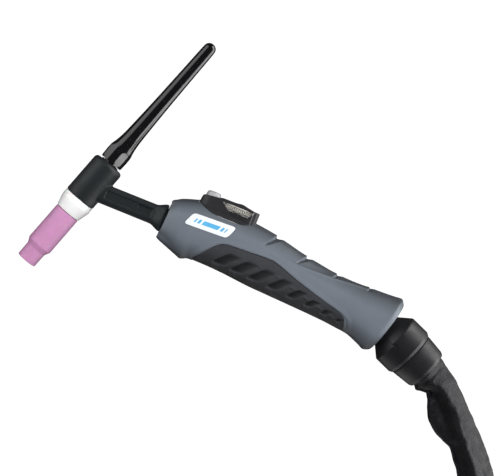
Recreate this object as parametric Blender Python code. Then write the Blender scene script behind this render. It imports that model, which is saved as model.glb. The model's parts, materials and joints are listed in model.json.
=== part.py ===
"""TIG welding torch: head, neck, clamshell handle with a trigger module, and a ball-jointed cable outlet.

Dimensions are in millimetres and angles in degrees; objects are built in metres. +X runs along the
handle from the head towards the cable, +Z towards the trigger, +Y to the holder's right. The origin
is in the middle of the hand grip, on the axis of the neck.
"""

import math

import bmesh
import bpy
from mathutils import Matrix

MM = 0.001
GAP = 0.3
SLACK = 1.0
ROUND = 20
FINE_ROUND = 28

# Head axis: crosses the neck axis at HEAD_X and rises HEAD_ANGLE above +X. Stations along it are
# positive towards the back cap and negative towards the nozzle mouth.
HEAD_X = -138.3
HEAD_ANGLE = 71.0
HEAD_RADIUS = 12.65
HEAD_FRONT = -10.4
HEAD_TOP = 24.0
CORE_RADIUS = 8.0
CORE_BORE = 5.0
CORE_FRONT = -9.5
CORE_TOP = 22.5

# Neck: stations along X as (x, half width, half height, squareness), from the head to the flare.
NECK_STATIONS = (
    (-132.3, 7.6, 8.0, 3.2),
    (-85.0, 7.6, 8.0, 3.2),
    (-79.4, 10.2, 10.3, 2.8),
    (-76.6, 11.0, 11.0, 2.6),
)
NECK_PANEL_SIZE = (38.0, 2.0, 6.8)
NECK_PANEL_MIDDLE = (-105.0, 7.9, 0.4)
SPIGOT_RADIUS = 7.8
TUBE_RADIUS = 4.0
TUBE_START = 7.3
TUBE_BORE = 2.6

COLLET_BODY_THREAD = 4.7
COLLET_BODY_SEAT = 6.3
COLLET_BODY_NOSE = 4.2
COLLET_BODY_BORE = 2.3
COLLET_RADIUS = 1.95
COLLET_BORE = 1.5
COLLET_TOP = 4.8
ELECTRODE_RADIUS = 1.2
ELECTRODE_TIP = -62.0
ELECTRODE_LENGTH = 150.0

SHIELD_TOP = -10.8
SHIELD_EDGE = -16.0
SHIELD_FRONT = -24.3
SHIELD_RADIUS = 12.5
NOZZLE_TOP = -24.7
NOZZLE_SHOULDER = -56.9
NOZZLE_TIP_TOP = -60.9
NOZZLE_MOUTH = -72.4
NOZZLE_RADIUS = 10.1
NOZZLE_TIP_RADIUS = 8.0
NOZZLE_THROAT = 6.7
NOZZLE_BORE = 5.5

CAP_THREAD = 4.7
CAP_NECK = 5.3
CAP_FLANGE = 25.5
CAP_BORE = 1.7
CAP_BORE_TOP = 92.0
# Back cap: stations along the head axis as (outer radius, station), then the flats round its base.
CAP_STATIONS = (
    (9.0, CAP_FLANGE),
    (9.5, 26.3),
    (10.1, 30.0),
    (10.3, 33.0),
    (9.3, 37.5),
    (8.25, 41.5),
    (7.55, 46.0),
    (7.05, 51.5),
    (6.75, 58.5),
    (5.95, 83.5),
    (5.35, 115.5),
    (5.0, 137.4),
    (4.8, 140.2),
    (3.9, 142.8),
    (2.2, 144.4),
)
CAP_FLATS = 10
CAP_FLAT_REACH = 9.35
CAP_FLAT_MIDDLE = 33.0
CAP_FLAT_TAPER = 0.035
O_RING_MAJOR = 6.6
O_RING_MINOR = 1.0

# Handle: each station is (x, top, bottom, half width). Towards the rear the stations lean, so that
# the rear rim ends up slanting REAR_LEAN millimetres of x for each millimetre of height.
HANDLE_STATIONS = (
    (-76.0, 14.6, -15.6, 13.2),
    (-74.5, 16.2, -17.0, 14.6),
    (-70.0, 18.9, -18.6, 15.9),
    (-64.0, 21.0, -20.8, 16.9),
    (-57.0, 23.2, -23.4, 17.4),
    (-54.0, 23.8, -23.8, 17.5),
    (-50.0, 24.0, -22.0, 17.5),
    (-44.0, 24.0, -21.0, 17.3),
    (-35.0, 23.8, -21.0, 17.1),
    (-20.0, 23.2, -22.0, 16.9),
    (-9.0, 22.4, -23.0, 16.8),
    (0.0, 21.5, -24.0, 16.5),
    (7.0, 20.1, -24.3, 16.3),
    (11.0, 18.4, -24.5, 16.2),
    (20.0, 17.2, -24.8, 16.0),
    (33.0, 14.7, -25.4, 15.8),
    (37.0, 13.1, -25.6, 15.8),
    (50.0, 12.0, -26.2, 15.9),
    (61.0, 10.4, -26.9, 16.3),
    (75.0, 10.2, -28.0, 17.3),
    (88.0, 9.6, -29.3, 18.8),
    (100.0, 10.2, -32.3, 20.5),
    (107.0, 10.9, -34.8, 21.6),
    (110.4, 11.1, -35.6, 22.0),
    (111.6, 10.6, -35.4, 21.7),
    (114.4, 8.0, -34.3, 20.5),
)
SECTION_POWER = 2.6
SECTION_STEPS = 7
REAR_LEAN = 0.289
LEAN_START = 60.0
LEAN_END = 114.5
WALL = 4.4
CAVITY_FRONT = -72.0
CAVITY_REAR = 82.0
GRIP_LOW_ANGLE = -88.0

# Upper edge of the soft grip, as (x, z), seen from the side.
GRIP_EDGE = (
    (-45.0, -19.2),
    (-40.0, -14.0),
    (-36.0, -9.0),
    (-32.0, -4.5),
    (-28.0, -1.6),
    (-20.0, -0.2),
    (0.0, 0.8),
    (10.0, 1.4),
    (16.0, 0.3),
    (30.0, -4.5),
    (45.0, -9.0),
    (60.0, -13.0),
    (74.0, -16.3),
    (79.0, -19.0),
    (82.0, -25.0),
)
GRIP_THICKNESS = 1.8

BADGE_MIDDLE = (-41.4, 8.3)
BADGE_LENGTH = 33.0
BADGE_HEIGHT = 9.6
BADGE_SLOPE = 0.05
BADGE_RAKE = 0.42
BADGE_PROUD = 0.35
BADGE_DEPTH = 0.6

# Trigger module: the lower edge of its saddle as (x, z), and the block above it as stations of
# (x, half width, top).
SADDLE_EDGE = (
    (-57.0, 22.6),
    (-50.0, 20.0),
    (-45.0, 18.0),
    (-40.0, 17.2),
    (-30.0, 17.0),
    (-20.0, 17.5),
    (-15.0, 19.4),
    (-10.0, 21.8),
)
BLOCK_STATIONS = (
    (-56.0, 4.6, 25.5),
    (-55.3, 6.6, 28.0),
    (-53.5, 8.4, 28.9),
    (-51.0, 9.6, 29.2),
    (-48.0, 10.2, 29.6),
    (-42.5, 10.4, 30.3),
    (-40.0, 10.4, 31.0),
    (-30.0, 10.4, 31.2),
    (-25.0, 10.4, 31.9),
    (-20.0, 10.4, 31.0),
    (-15.0, 10.2, 30.2),
    (-12.0, 8.6, 30.1),
    (-10.6, 6.2, 30.0),
    (-10.2, 4.6, 29.3),
)
BLOCK_CHAMFER = 0.9
BLOCK_SINK = 0.3
BLOCK_HALF_WIDTH = 10.4
WINDOW_OUTLINE = ((-39.6, 29.0), (-14.5, 29.0), (-14.7, 28.2), (-17.4, 23.7), (-34.0, 23.7), (-39.4, 28.2))
SCALLOP_OUTLINE = ((-32.5, 23.9), (-17.6, 23.9), (-18.6, 21.2), (-30.0, 21.2))
SCALLOP_DEPTH = 2.4

BUTTON_X = -48.0
BUTTON_RADIUS = 5.9
BUTTON_FLANGE = 6.6
BUTTON_FLANGE_BOTTOM = 25.9
BUTTON_FLANGE_TOP = 27.3
BUTTON_TOP = 33.3
BUTTON_HOLLOW = 4.6
BUTTON_HOLLOW_TOP = 31.4
BUTTON_BOSS = 1.8
BUTTON_BOSS_BOTTOM = 26.5
SWITCH_TOP = 23.9
SWITCH_SIZE = (11.4, 7.0, 5.2)
PLUNGER_RADIUS = 0.95
PLUNGER_BOTTOM = 22.4
SPRING_RADIUS = 3.5
SPRING_WIRE = 0.35
SPRING_TURNS = 4
SPRING_STEPS = 10

WHEEL_X = -27.0
WHEEL_RADIUS = 12.0
WHEEL_BOTTOM = 24.0
WHEEL_TOP = 28.7
WHEEL_RIBS = 44
RIB_DEPTH = 0.5
SHAFT_RADIUS = 1.5
SHAFT_WAY = 2.2
POT_RADIUS = 5.0
POT_BOTTOM = 19.1
POT_TOP = 22.4

BOARD_SIZE = (40.6, 16.4, 1.6)
BOARD_MIDDLE = (-33.5, 0.0, 17.8)
BOARD_ROOM_HEIGHT = 6.0

NUT_FRONT = -57.5
NUT_REAR = -45.0
NUT_RADIUS = 8.0
FERRULE_REAR = -30.0
FERRULE_RADIUS = 6.6
CABLE_RADIUS = 5.0
CONTROL_RADIUS = 1.8

# Screws run along Y and enter from the right. Each is (x, z).
SCREWS = ((-66.0, 12.6), (-62.0, -13.4), (0.0, 15.0), (98.0, -31.0))
SCREW_RADIUS = 1.5
SCREW_HEAD_RADIUS = 2.7
SCREW_HEAD_HEIGHT = 1.8
SCREW_SINK = 1.6
SCREW_TIP_Y = -8.0
BOSS_RADIUS = 3.3

# Ball joint: the socket axis stands square to the rear rim, the knuckle axis points further down.
BALL_X = 96.8
BALL_Z = -9.4
SOCKET_ANGLE = -16.1
KNUCKLE_ANGLE = -22.6
BALL_RADIUS = 14.0
BALL_BORE = 8.0
BALL_NECK = 9.4
BALL_NECK_REAR = 30.0
SEAT_RADIUS = 16.8
SEAT_HALF_LENGTH = 8.0
CABLE_WAY = 10.0
CABLE_WAY_FRONT = -20.0
MOUTH_THROAT = 12.6
MOUTH_RADIUS = 29.6
MOUTH_END = 24.0
COLLAR_FRONT = 13.5
COLLAR_FRONT_RADIUS = 11.3
COLLAR_SHOULDER = 24.6
COLLAR_RADIUS = 20.75
COLLAR_BACK_RADIUS = 19.4
COLLAR_REAR = 41.6
COLLAR_BORE = 9.7
TAIL_RADIUS = 12.3
TAIL_REAR = 56.0
CLAMP_FRONT = 42.0
CLAMP_REAR = 59.3
CLAMP_FRONT_RADIUS = 19.0
CLAMP_REAR_RADIUS = 17.2
CLAMP_BORE = 15.1

# Leather sleeve: stations along its centre line as (x, z, outer radius), after a straight start
# inside the clamp ring.
SLEEVE_START = 45.0
SLEEVE_NECK = 60.0
SLEEVE_RADIUS = 14.7
SLEEVE_WALL = 1.6
SLEEVE_LINE = (
    (161.0, -37.6, 14.7),
    (170.0, -45.8, 14.4),
    (180.5, -57.2, 15.0),
    (191.0, -68.6, 14.8),
    (202.0, -80.2, 13.6),
    (212.0, -91.4, 13.0),
    (221.5, -102.6, 13.0),
)
CABLE_OFFSET = -2.4
CONTROL_OFFSET = 5.4


def clear_scene():
    for obj in list(bpy.data.objects):
        bpy.data.objects.remove(obj, do_unlink=True)


def principled(name, colour, roughness, metallic=0.0):
    material = bpy.data.materials.new(name)
    material.use_nodes = True
    shader = material.node_tree.nodes["Principled BSDF"]
    shader.inputs["Base Color"].default_value = (*colour, 1.0)
    shader.inputs["Roughness"].default_value = roughness
    shader.inputs["Metallic"].default_value = metallic
    return material


def make_materials():
    return {
        "insulation": principled("black_insulation", (0.018, 0.021, 0.022), 0.5),
        "ceramic": principled("pink_alumina", (0.56, 0.25, 0.46), 0.55),
        "white": principled("white_ptfe", (0.92, 0.92, 0.91), 0.45),
        "cap": principled("gloss_black_phenolic", (0.012, 0.012, 0.014), 0.18),
        "grey": principled("grey_nylon", (0.145, 0.165, 0.185), 0.5),
        "grip": principled("black_elastomer", (0.024, 0.024, 0.027), 0.7),
        "module": principled("black_abs", (0.02, 0.02, 0.022), 0.4),
        "button": principled("light_grey_plastic", (0.4, 0.4, 0.41), 0.45),
        "wheel": principled("warm_grey_plastic", (0.42, 0.4, 0.37), 0.5),
        "badge": principled("badge_white", (0.85, 0.88, 0.92), 0.3),
        "steel": principled("steel", (0.55, 0.55, 0.56), 0.35, 1.0),
        "brass": principled("brass", (0.72, 0.5, 0.22), 0.35, 1.0),
        "copper": principled("copper", (0.72, 0.36, 0.22), 0.35, 1.0),
        "tungsten": principled("tungsten", (0.4, 0.4, 0.41), 0.4, 1.0),
        "board": principled("board_green", (0.02, 0.14, 0.06), 0.5),
        "rubber": principled("rubber", (0.02, 0.02, 0.02), 0.75),
        "knuckle": principled("black_nylon", (0.022, 0.022, 0.024), 0.45),
        "acetal": principled("natural_acetal", (0.75, 0.74, 0.7), 0.4),
        "leather": principled("black_leather", (0.03, 0.03, 0.033), 0.5),
    }


def make_axis(name, x, z, angle):
    """An empty at (x, 0, z) whose Z axis lies in the XZ plane, angle degrees above +X."""
    axis = bpy.data.objects.new(name, None)
    bpy.context.scene.collection.objects.link(axis)
    axis.location = (x * MM, 0.0, z * MM)
    axis.rotation_euler = (0.0, math.radians(90.0 - angle), 0.0)
    return axis


def finish_mesh(name, bm, material=None, parent=None, place=(0.0, 0.0, 0.0)):
    """Turns a bmesh in millimetres into an object in metres, standing at the given place."""
    bmesh.ops.recalc_face_normals(bm, faces=bm.faces)
    mesh = bpy.data.meshes.new(name)
    bm.to_mesh(mesh)
    bm.free()
    mesh.transform(Matrix.Scale(MM, 4))
    mesh.shade_smooth()
    mesh.set_sharp_from_angle(angle=math.radians(35.0))
    obj = bpy.data.objects.new(name, mesh)
    obj.location = [value * MM for value in place]
    obj.parent = parent
    bpy.context.scene.collection.objects.link(obj)
    if material:
        mesh.materials.append(material)
    else:
        obj.hide_render = True
        obj.display_type = "WIRE"
    return obj


def turned(profile, steps=ROUND):
    """Spins a closed or axis-to-axis profile of (radius, height) points about Z."""
    bm = bmesh.new()
    points = [bm.verts.new((radius, 0.0, height)) for radius, height in profile]
    edges = [bm.edges.new(pair) for pair in zip(points, points[1:])]
    if profile[0][0] > 0.0 or profile[-1][0] > 0.0:
        edges.append(bm.edges.new((points[-1], points[0])))
    bmesh.ops.spin(
        bm, geom=edges + points, axis=(0, 0, 1), cent=(0, 0, 0), angle=math.tau, steps=steps, use_merge=True
    )
    bmesh.ops.remove_doubles(bm, verts=bm.verts, dist=1e-4)
    return bm


def lofted(rings, loop=False):
    """Skins rings of equal length into a solid, closed at both ends or, with loop, back to the start."""
    bm = bmesh.new()
    loops = [[bm.verts.new(point) for point in ring] for ring in rings]
    pairs = list(zip(loops, loops[1:]))
    if loop:
        pairs.append((loops[-1], loops[0]))
    for first, second in pairs:
        for index in range(len(first)):
            after = (index + 1) % len(first)
            bm.faces.new((first[index], first[after], second[after], second[index]))
    if not loop:
        bm.faces.new(loops[0])
        bm.faces.new(loops[-1])
    return bm


def extruded(outline, half_width):
    """A side outline of (x, z) points, extruded along Y to both sides."""
    rings = [[(x, y, z) for x, z in outline] for y in (-half_width, half_width)]
    return lofted(rings)


def box(size, middle=(0.0, 0.0, 0.0)):
    bm = bmesh.new()
    scale = Matrix.Diagonal((*size, 1.0))
    bmesh.ops.create_cube(bm, size=1.0, matrix=Matrix.Translation(middle) @ scale)
    return bm


def tube(outer, inner, bottom, top, steps=ROUND):
    return turned([(outer, top), (outer, bottom), (inner, bottom), (inner, top)], steps)


def rod(radius, bottom, top, steps=ROUND):
    return turned([(0.0, top), (radius, top), (radius, bottom), (0.0, bottom)], steps)


def combine(obj, operation, tool):
    modifier = obj.modifiers.new(f"{operation.lower()}_{tool.name}", "BOOLEAN")
    modifier.operation = operation
    modifier.solver = "EXACT"
    modifier.object = tool


def cut(obj, tool):
    combine(obj, "DIFFERENCE", tool)


def blend_table(table, x):
    """Reads a row-wise table at x, in straight lines between its rows."""
    if x <= table[0][0]:
        return table[0][1:]
    for low, high in zip(table, table[1:]):
        if x <= high[0]:
            share = (x - low[0]) / (high[0] - low[0])
            return tuple(a + (b - a) * share for a, b in zip(low[1:], high[1:]))
    return table[-1][1:]


def lean(x):
    share = min(max((x - LEAN_START) / (LEAN_END - LEAN_START), 0.0), 1.0)
    return REAR_LEAN * share * share * (3.0 - 2.0 * share)


def section_point(x, angle, inset=0.0, side=1.0):
    """A point on the handle's cross-section at station x; angle runs from the side up to the top."""
    top, bottom, half_width = blend_table(HANDLE_STATIONS, x)
    across, up = math.cos(angle), math.sin(angle)
    power = 2.0 / SECTION_POWER
    y = side * (half_width - inset) * math.copysign(abs(across) ** power, across)
    height = ((top - bottom) / 2.0 - inset) * math.copysign(abs(up) ** power, up)
    z = (top + bottom) / 2.0 + height
    return (x + lean(x) * z, y, z)


def angle_at(x, z, inset=0.0):
    """The section angle at which the handle's surface passes height z."""
    top, bottom, _ = blend_table(HANDLE_STATIONS, x)
    share = (z - (top + bottom) / 2.0) / ((top - bottom) / 2.0 - inset)
    share = min(max(share, -0.999), 0.999)
    return math.asin(math.copysign(abs(share) ** (SECTION_POWER / 2.0), share))


def surface_y(x, z, inset=0.0):
    return section_point(x, angle_at(x, z, inset), inset)[1]


def surface_z(x, y):
    """Height of the handle's upper surface at a distance y from the middle plane."""
    top, bottom, half_width = blend_table(HANDLE_STATIONS, x)
    share = (1.0 - (abs(y) / half_width) ** SECTION_POWER) ** (1.0 / SECTION_POWER)
    return (top + bottom) / 2.0 + (top - bottom) / 2.0 * share


def steps_between(first, last, count):
    return [first + (last - first) * index / count for index in range(count + 1)]


def half_ring(x, side, inset=0.0):
    """One half of the cross-section, closed by a flat half a gap from the parting plane."""
    angles = steps_between(math.radians(88.0), math.radians(-88.0), 2 * SECTION_STEPS)
    arc = [section_point(x, angle, inset, side) for angle in angles]
    flat = side * GAP / 2.0
    first = (arc[0][0], flat, arc[0][2])
    last = (arc[-1][0], flat, arc[-1][2])
    return [first, *arc, last]


def whole_ring(x, inset, count=16):
    angles = steps_between(0.0, math.tau, count)[:-1]
    return [section_point(x, angle, inset) for angle in angles]


def grip_ring(x, edge_z, side, outer, inner, flat):
    """The soft grip's strip at station x: from its upper edge down to the flat under the handle."""
    low = math.radians(GRIP_LOW_ANGLE)
    outside = steps_between(angle_at(x, edge_z, outer), low, SECTION_STEPS)
    inside = steps_between(low, angle_at(x, edge_z, inner), SECTION_STEPS)
    out_arc = [section_point(x, angle, outer, side) for angle in outside]
    in_arc = [section_point(x, angle, inner, side) for angle in inside]
    corner_out = (out_arc[-1][0], flat, out_arc[-1][2])
    corner_in = (in_arc[0][0], flat, in_arc[0][2])
    return [*out_arc, corner_out, corner_in, *in_arc]


def grip_rings(side, outer, inner, flat, margin):
    rings = []
    for index, (x, z) in enumerate(GRIP_EDGE):
        end = (index == len(GRIP_EDGE) - 1) - (index == 0)
        rings.append(grip_ring(x + end * margin, z + margin, side, outer, inner, flat))
    return rings


def badge_rings(side, inner, outer, margin):
    """The badge's raked outline, wrapped on the handle's side between two depths of inset."""
    rings = []
    columns = 6
    rows = 3
    for column in range(columns + 1):
        ring = []
        along = (column / columns - 0.5) * (BADGE_LENGTH + 2.0 * margin)
        near_end = max(abs(along) - BADGE_LENGTH / 2.0 + BADGE_HEIGHT / 4.0, 0.0)
        half_height = BADGE_HEIGHT / 2.0 + margin - near_end * near_end * 0.25
        heights = steps_between(-half_height, half_height, rows)
        for inset, order in ((outer, heights), (inner, heights[::-1])):
            for height in order:
                x = BADGE_MIDDLE[0] + along + height * BADGE_RAKE
                z = BADGE_MIDDLE[1] + height + along * BADGE_SLOPE
                ring.append((x, side * surface_y(x, z, inset), z))
        rings.append(ring)
    return rings


def swept(path, radii, steps=16):
    """A round bar along a path of (x, z) points in the XZ plane."""
    return lofted([ring_across(path, index, radius, steps) for index, radius in enumerate(radii)])


def path_direction(path, index):
    before = path[max(index - 1, 0)]
    after = path[min(index + 1, len(path) - 1)]
    run, rise = after[0] - before[0], after[1] - before[1]
    length = math.hypot(run, rise)
    return run / length, rise / length


def ring_across(path, index, radius, steps):
    run, rise = path_direction(path, index)
    ring = []
    for step in range(steps):
        angle = math.tau * step / steps
        off = radius * math.sin(angle)
        ring.append((path[index][0] - rise * off, radius * math.cos(angle), path[index][1] + run * off))
    return ring


def offset_path(path, distance):
    """The path moved sideways in the XZ plane, upwards for a positive distance."""
    moved = []
    for index, (x, z) in enumerate(path):
        run, rise = path_direction(path, index)
        moved.append((x - rise * distance, z + run * distance))
    return moved


def along_axis(x, z, angle, distance):
    turn = math.radians(angle)
    return (x + distance * math.cos(turn), z + distance * math.sin(turn))


def knuckle_point(distance):
    return along_axis(BALL_X, BALL_Z, KNUCKLE_ANGLE, distance)


def sleeve_path(start):
    """The centre line from a start on the knuckle axis to the cut end, with the outer radii."""
    straight = (start, SLEEVE_NECK - 7.0, SLEEVE_NECK)
    path = [knuckle_point(distance) for distance in straight]
    radii = [SLEEVE_RADIUS] * len(path)
    path += [(x, z) for x, z, _ in SLEEVE_LINE]
    radii += [radius for _, _, radius in SLEEVE_LINE]
    return path, radii


def make_head(axis, materials):
    """The moulded insulation of the head and neck, with the brass core and copper tube inside it."""
    rounding = [(HEAD_RADIUS - 1.0, HEAD_TOP - 1.5), (HEAD_RADIUS, HEAD_TOP - 5.0)]
    profile = [(0.0, HEAD_TOP), (HEAD_RADIUS - 3.5, HEAD_TOP), *rounding]
    profile += [(HEAD_RADIUS, HEAD_FRONT), (0.0, HEAD_FRONT)]
    head = finish_mesh("torch_head", turned(profile, FINE_ROUND), materials["insulation"], axis)
    neck = finish_mesh("neck_blank", lofted(neck_rings()))
    combine(head, "UNION", neck)
    length, depth, height = NECK_PANEL_SIZE
    x, y, z = NECK_PANEL_MIDDLE
    for side, name in ((-1.0, "left"), (1.0, "right")):
        cut(head, finish_mesh(f"{name}_neck_panel", box((length, depth, height), (x, side * y, z))))
    cut(head, finish_mesh("core_bore", rod(CORE_RADIUS + GAP, -40.0, 40.0), parent=axis))
    cut(head, finish_mesh("tube_bore", swept([(HEAD_X, 0.0), (-50.0, 0.0)], [TUBE_RADIUS + GAP] * 2)))

    core_body = tube(CORE_RADIUS, CORE_BORE, CORE_FRONT, CORE_TOP)
    core = finish_mesh("head_core", core_body, materials["brass"], axis)
    side_hole = swept([(HEAD_X, 0.0), (HEAD_X + 20.0, 0.0)], [TUBE_RADIUS + GAP] * 2)
    cut(core, finish_mesh("core_side_hole", side_hole))

    pipe = swept([(HEAD_X + TUBE_START, 0.0), (NUT_FRONT + 3.0, 0.0)], [TUBE_RADIUS] * 2)
    neck_tube = finish_mesh("neck_tube", pipe, materials["copper"])
    cut(neck_tube, finish_mesh("tube_gas_way", swept([(HEAD_X, 0.0), (NUT_REAR, 0.0)], [TUBE_BORE] * 2)))


def neck_rings():
    """Rings along X: a flattened bar, a flare where it meets the handle, and a round spigot inside."""
    spigot = (SPIGOT_RADIUS, SPIGOT_RADIUS, 2.0)
    stations = [*NECK_STATIONS, (NECK_STATIONS[-1][0], *spigot), (-61.0, *spigot)]
    rings = []
    for x, half_width, half_height, power in stations:
        ring = []
        for step in range(24):
            angle = math.tau * step / 24
            across, up = math.cos(angle), math.sin(angle)
            y = half_width * math.copysign(abs(across) ** (2.0 / power), across)
            z = half_height * math.copysign(abs(up) ** (2.0 / power), up)
            ring.append((x, y, z))
        rings.append(ring)
    return rings


def make_consumables(axis, materials):
    """Collet body, collet, tungsten, heat shield and nozzle, all on the head axis."""
    seat_rear = CORE_FRONT - GAP
    body = [(COLLET_BODY_THREAD, 4.0), (COLLET_BODY_THREAD, seat_rear), (COLLET_BODY_SEAT, seat_rear)]
    body += [(COLLET_BODY_SEAT, -34.0), (COLLET_BODY_NOSE, -36.0), (COLLET_BODY_NOSE, -46.0), (3.2, -50.0)]
    body += [(COLLET_RADIUS - 0.2, -50.0), (COLLET_RADIUS - 0.2, -45.5), (COLLET_BODY_BORE, -45.0)]
    body += [(COLLET_BODY_BORE, 4.0)]
    finish_mesh("collet_body", turned(body), materials["copper"], axis)

    finish_mesh("collet", tube(COLLET_RADIUS, COLLET_BORE, -44.7, COLLET_TOP, 16), materials["copper"], axis)

    point = [(0.0, ELECTRODE_TIP + ELECTRODE_LENGTH), (ELECTRODE_RADIUS, ELECTRODE_TIP + ELECTRODE_LENGTH)]
    point += [(ELECTRODE_RADIUS, ELECTRODE_TIP + 5.0), (0.3, ELECTRODE_TIP), (0.0, ELECTRODE_TIP)]
    finish_mesh("electrode", turned(point, 12), materials["tungsten"], axis)

    shield = [(SHIELD_RADIUS, SHIELD_TOP), (SHIELD_RADIUS, SHIELD_EDGE)]
    shield += [(NOZZLE_RADIUS + 0.15, SHIELD_FRONT), (NOZZLE_THROAT, SHIELD_FRONT), (NOZZLE_THROAT, SHIELD_TOP)]
    finish_mesh("heat_shield", turned(shield, FINE_ROUND), materials["white"], axis)

    nozzle = [(NOZZLE_RADIUS, NOZZLE_TOP), (NOZZLE_RADIUS, NOZZLE_SHOULDER)]
    nozzle += [(NOZZLE_TIP_RADIUS, NOZZLE_TIP_TOP), (NOZZLE_TIP_RADIUS, NOZZLE_MOUTH)]
    nozzle += [(NOZZLE_BORE, NOZZLE_MOUTH), (NOZZLE_BORE, NOZZLE_SHOULDER)]
    nozzle += [(NOZZLE_THROAT, -42.0), (NOZZLE_THROAT, NOZZLE_TOP)]
    finish_mesh("nozzle", turned(nozzle, FINE_ROUND), materials["ceramic"], axis)


def cap_ring(radius, height):
    """A round ring with its sides cut back to the base's flats wherever it reaches past them."""
    flat = CAP_FLAT_REACH - CAP_FLAT_TAPER * abs(height - CAP_FLAT_MIDDLE)
    pitch = math.tau / CAP_FLATS
    ring = []
    for step in range(CAP_FLATS * 4):
        angle = pitch * step / 4.0
        off = (angle + math.pi / 2.0 + pitch / 2.0) % pitch - pitch / 2.0
        reach = min(radius, flat / math.cos(off))
        ring.append((reach * math.cos(angle), reach * math.sin(angle), height))
    return ring


def make_back_cap(axis, materials):
    rings = [cap_ring(radius, height) for radius, height in CAP_STATIONS]
    cap = finish_mesh("back_cap", lofted(rings), materials["cap"], axis)
    stem = [(0.0, CAP_FLANGE + 2.0), (CAP_NECK, CAP_FLANGE + 2.0), (CAP_NECK, CORE_TOP + GAP)]
    stem += [(CAP_THREAD, CORE_TOP), (CAP_THREAD, COLLET_TOP + GAP), (0.0, COLLET_TOP + GAP)]
    combine(cap, "UNION", finish_mesh("cap_stem", turned(stem), parent=axis))
    cut(cap, finish_mesh("cap_bore", rod(CAP_BORE, 0.0, CAP_BORE_TOP, 16), parent=axis))

    ring = []
    for step in range(8):
        angle = math.tau * step / 8
        radius = O_RING_MAJOR + O_RING_MINOR * math.cos(angle)
        ring.append((radius, HEAD_TOP - O_RING_MINOR * math.sin(angle)))
    finish_mesh("back_cap_o_ring", turned(ring), materials["rubber"], axis)


def socket_cutter(axis):
    """Cable way, seat bore and flared mouth of the ball socket, as one turned cutter."""
    seat = SEAT_HALF_LENGTH + GAP
    profile = [(0.0, MOUTH_END), (MOUTH_RADIUS, MOUTH_END), (MOUTH_THROAT, seat), (SEAT_RADIUS + GAP, seat)]
    profile += [(SEAT_RADIUS + GAP, -seat), (MOUTH_THROAT - 0.5, -seat), (CABLE_WAY, -11.0)]
    profile += [(CABLE_WAY, CABLE_WAY_FRONT), (0.0, CABLE_WAY_FRONT)]
    return finish_mesh("socket_cutter", turned(profile, FINE_ROUND), parent=axis)


def module_cutter():
    edge = [(x, z - GAP) for x, z in SADDLE_EDGE]
    edge[0] = (edge[0][0] - GAP, edge[0][1])
    edge[-1] = (edge[-1][0] + GAP, edge[-1][1])
    outline = [*edge, (edge[-1][0], 40.0), (edge[0][0], 40.0)]
    return finish_mesh("module_cutter", extruded(outline, 30.0))


def board_cutter():
    """Room for the circuit board and its wiring, below the module and inside the shells."""
    length, width, thickness = [value + 2.0 * GAP for value in BOARD_SIZE]
    ceiling = BOARD_MIDDLE[2] + thickness / 2.0
    middle = (BOARD_MIDDLE[0], 0.0, ceiling - BOARD_ROOM_HEIGHT / 2.0)
    return finish_mesh("board_room", box((length, width, BOARD_ROOM_HEIGHT), middle))


def button_cutter():
    """Stepped well for the push button and the switch under it."""
    flange_stop = BUTTON_FLANGE_TOP + GAP
    profile = [(0.0, 40.0), (BUTTON_RADIUS + GAP, 40.0), (BUTTON_RADIUS + GAP, flange_stop)]
    profile += [(BUTTON_FLANGE + GAP, flange_stop), (BUTTON_FLANGE + GAP, 10.0), (0.0, 10.0)]
    return finish_mesh("button_well", turned(profile), place=(BUTTON_X, 0.0, 0.0))


def rods_across(radius, start, end, places):
    """Round bars along Y at each (x, z) place, in one mesh; start and end are functions of the place."""
    bm = bmesh.new()
    for x, z in places:
        low, high = start(x, z), end(x, z)
        turn = Matrix.Translation((x, (low + high) / 2.0, z)) @ Matrix.Rotation(math.pi / 2.0, 4, "X")
        bmesh.ops.create_cone(
            bm, cap_ends=True, segments=12, radius1=radius, radius2=radius, depth=high - low, matrix=turn
        )
    return bm


def head_seat_y(x, z):
    return surface_y(x - lean(x) * z, z) - SCREW_SINK - SCREW_HEAD_HEIGHT


def make_handle(socket, rooms, materials):
    """The two shells of the handle, split down the middle, with bosses for the screws."""
    cavity_stations = [row[0] for row in HANDLE_STATIONS if CAVITY_FRONT < row[0] < CAVITY_REAR]
    rings = [whole_ring(x, WALL) for x in (CAVITY_FRONT, *cavity_stations, CAVITY_REAR)]
    cavity = finish_mesh("handle_cavity", lofted(rings))
    socket_tool = socket_cutter(socket)
    module_tool = module_cutter()
    front_path = [(-80.0, 0.0), (CAVITY_FRONT + SLACK, 0.0)]
    front_hole = finish_mesh("front_hole", swept(front_path, [SPIGOT_RADIUS + GAP] * 2, 24))
    for side, name in ((-1.0, "left"), (1.0, "right")):
        blank = lofted([half_ring(row[0], side) for row in HANDLE_STATIONS])
        shell = finish_mesh(f"{name}_handle_shell", blank, materials["grey"])
        cut(shell, cavity)
        combine(shell, "UNION", boss_bars(name, side))
        cut(shell, socket_tool)
        cut(shell, module_tool)
        for tool in rooms:
            cut(shell, tool)
        cut(shell, front_hole)
        outer, inner = -SLACK, GRIP_THICKNESS + GAP
        recess = grip_rings(side, outer, inner, -side * SLACK, GAP)
        cut(shell, finish_mesh(f"{name}_grip_recess", lofted(recess)))
        pocket = badge_rings(side, BADGE_DEPTH + GAP, -SLACK, GAP)
        cut(shell, finish_mesh(f"{name}_badge_pocket", lofted(pocket)))
        for hole in screw_holes(name, side):
            cut(shell, hole)


def boss_bars(name, side):
    """Pillars from near the parting plane into the shell's wall, one for each screw in the cavity."""

    def wall_y(x, z):
        return surface_y(x, z, WALL) + SLACK

    places = SCREWS[:3]
    if side > 0:
        return finish_mesh(f"{name}_bosses", rods_across(BOSS_RADIUS, lambda x, z: GAP, wall_y, places))
    return finish_mesh(
        f"{name}_bosses", rods_across(BOSS_RADIUS, lambda x, z: -wall_y(x, z), lambda x, z: -GAP, places)
    )


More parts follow.
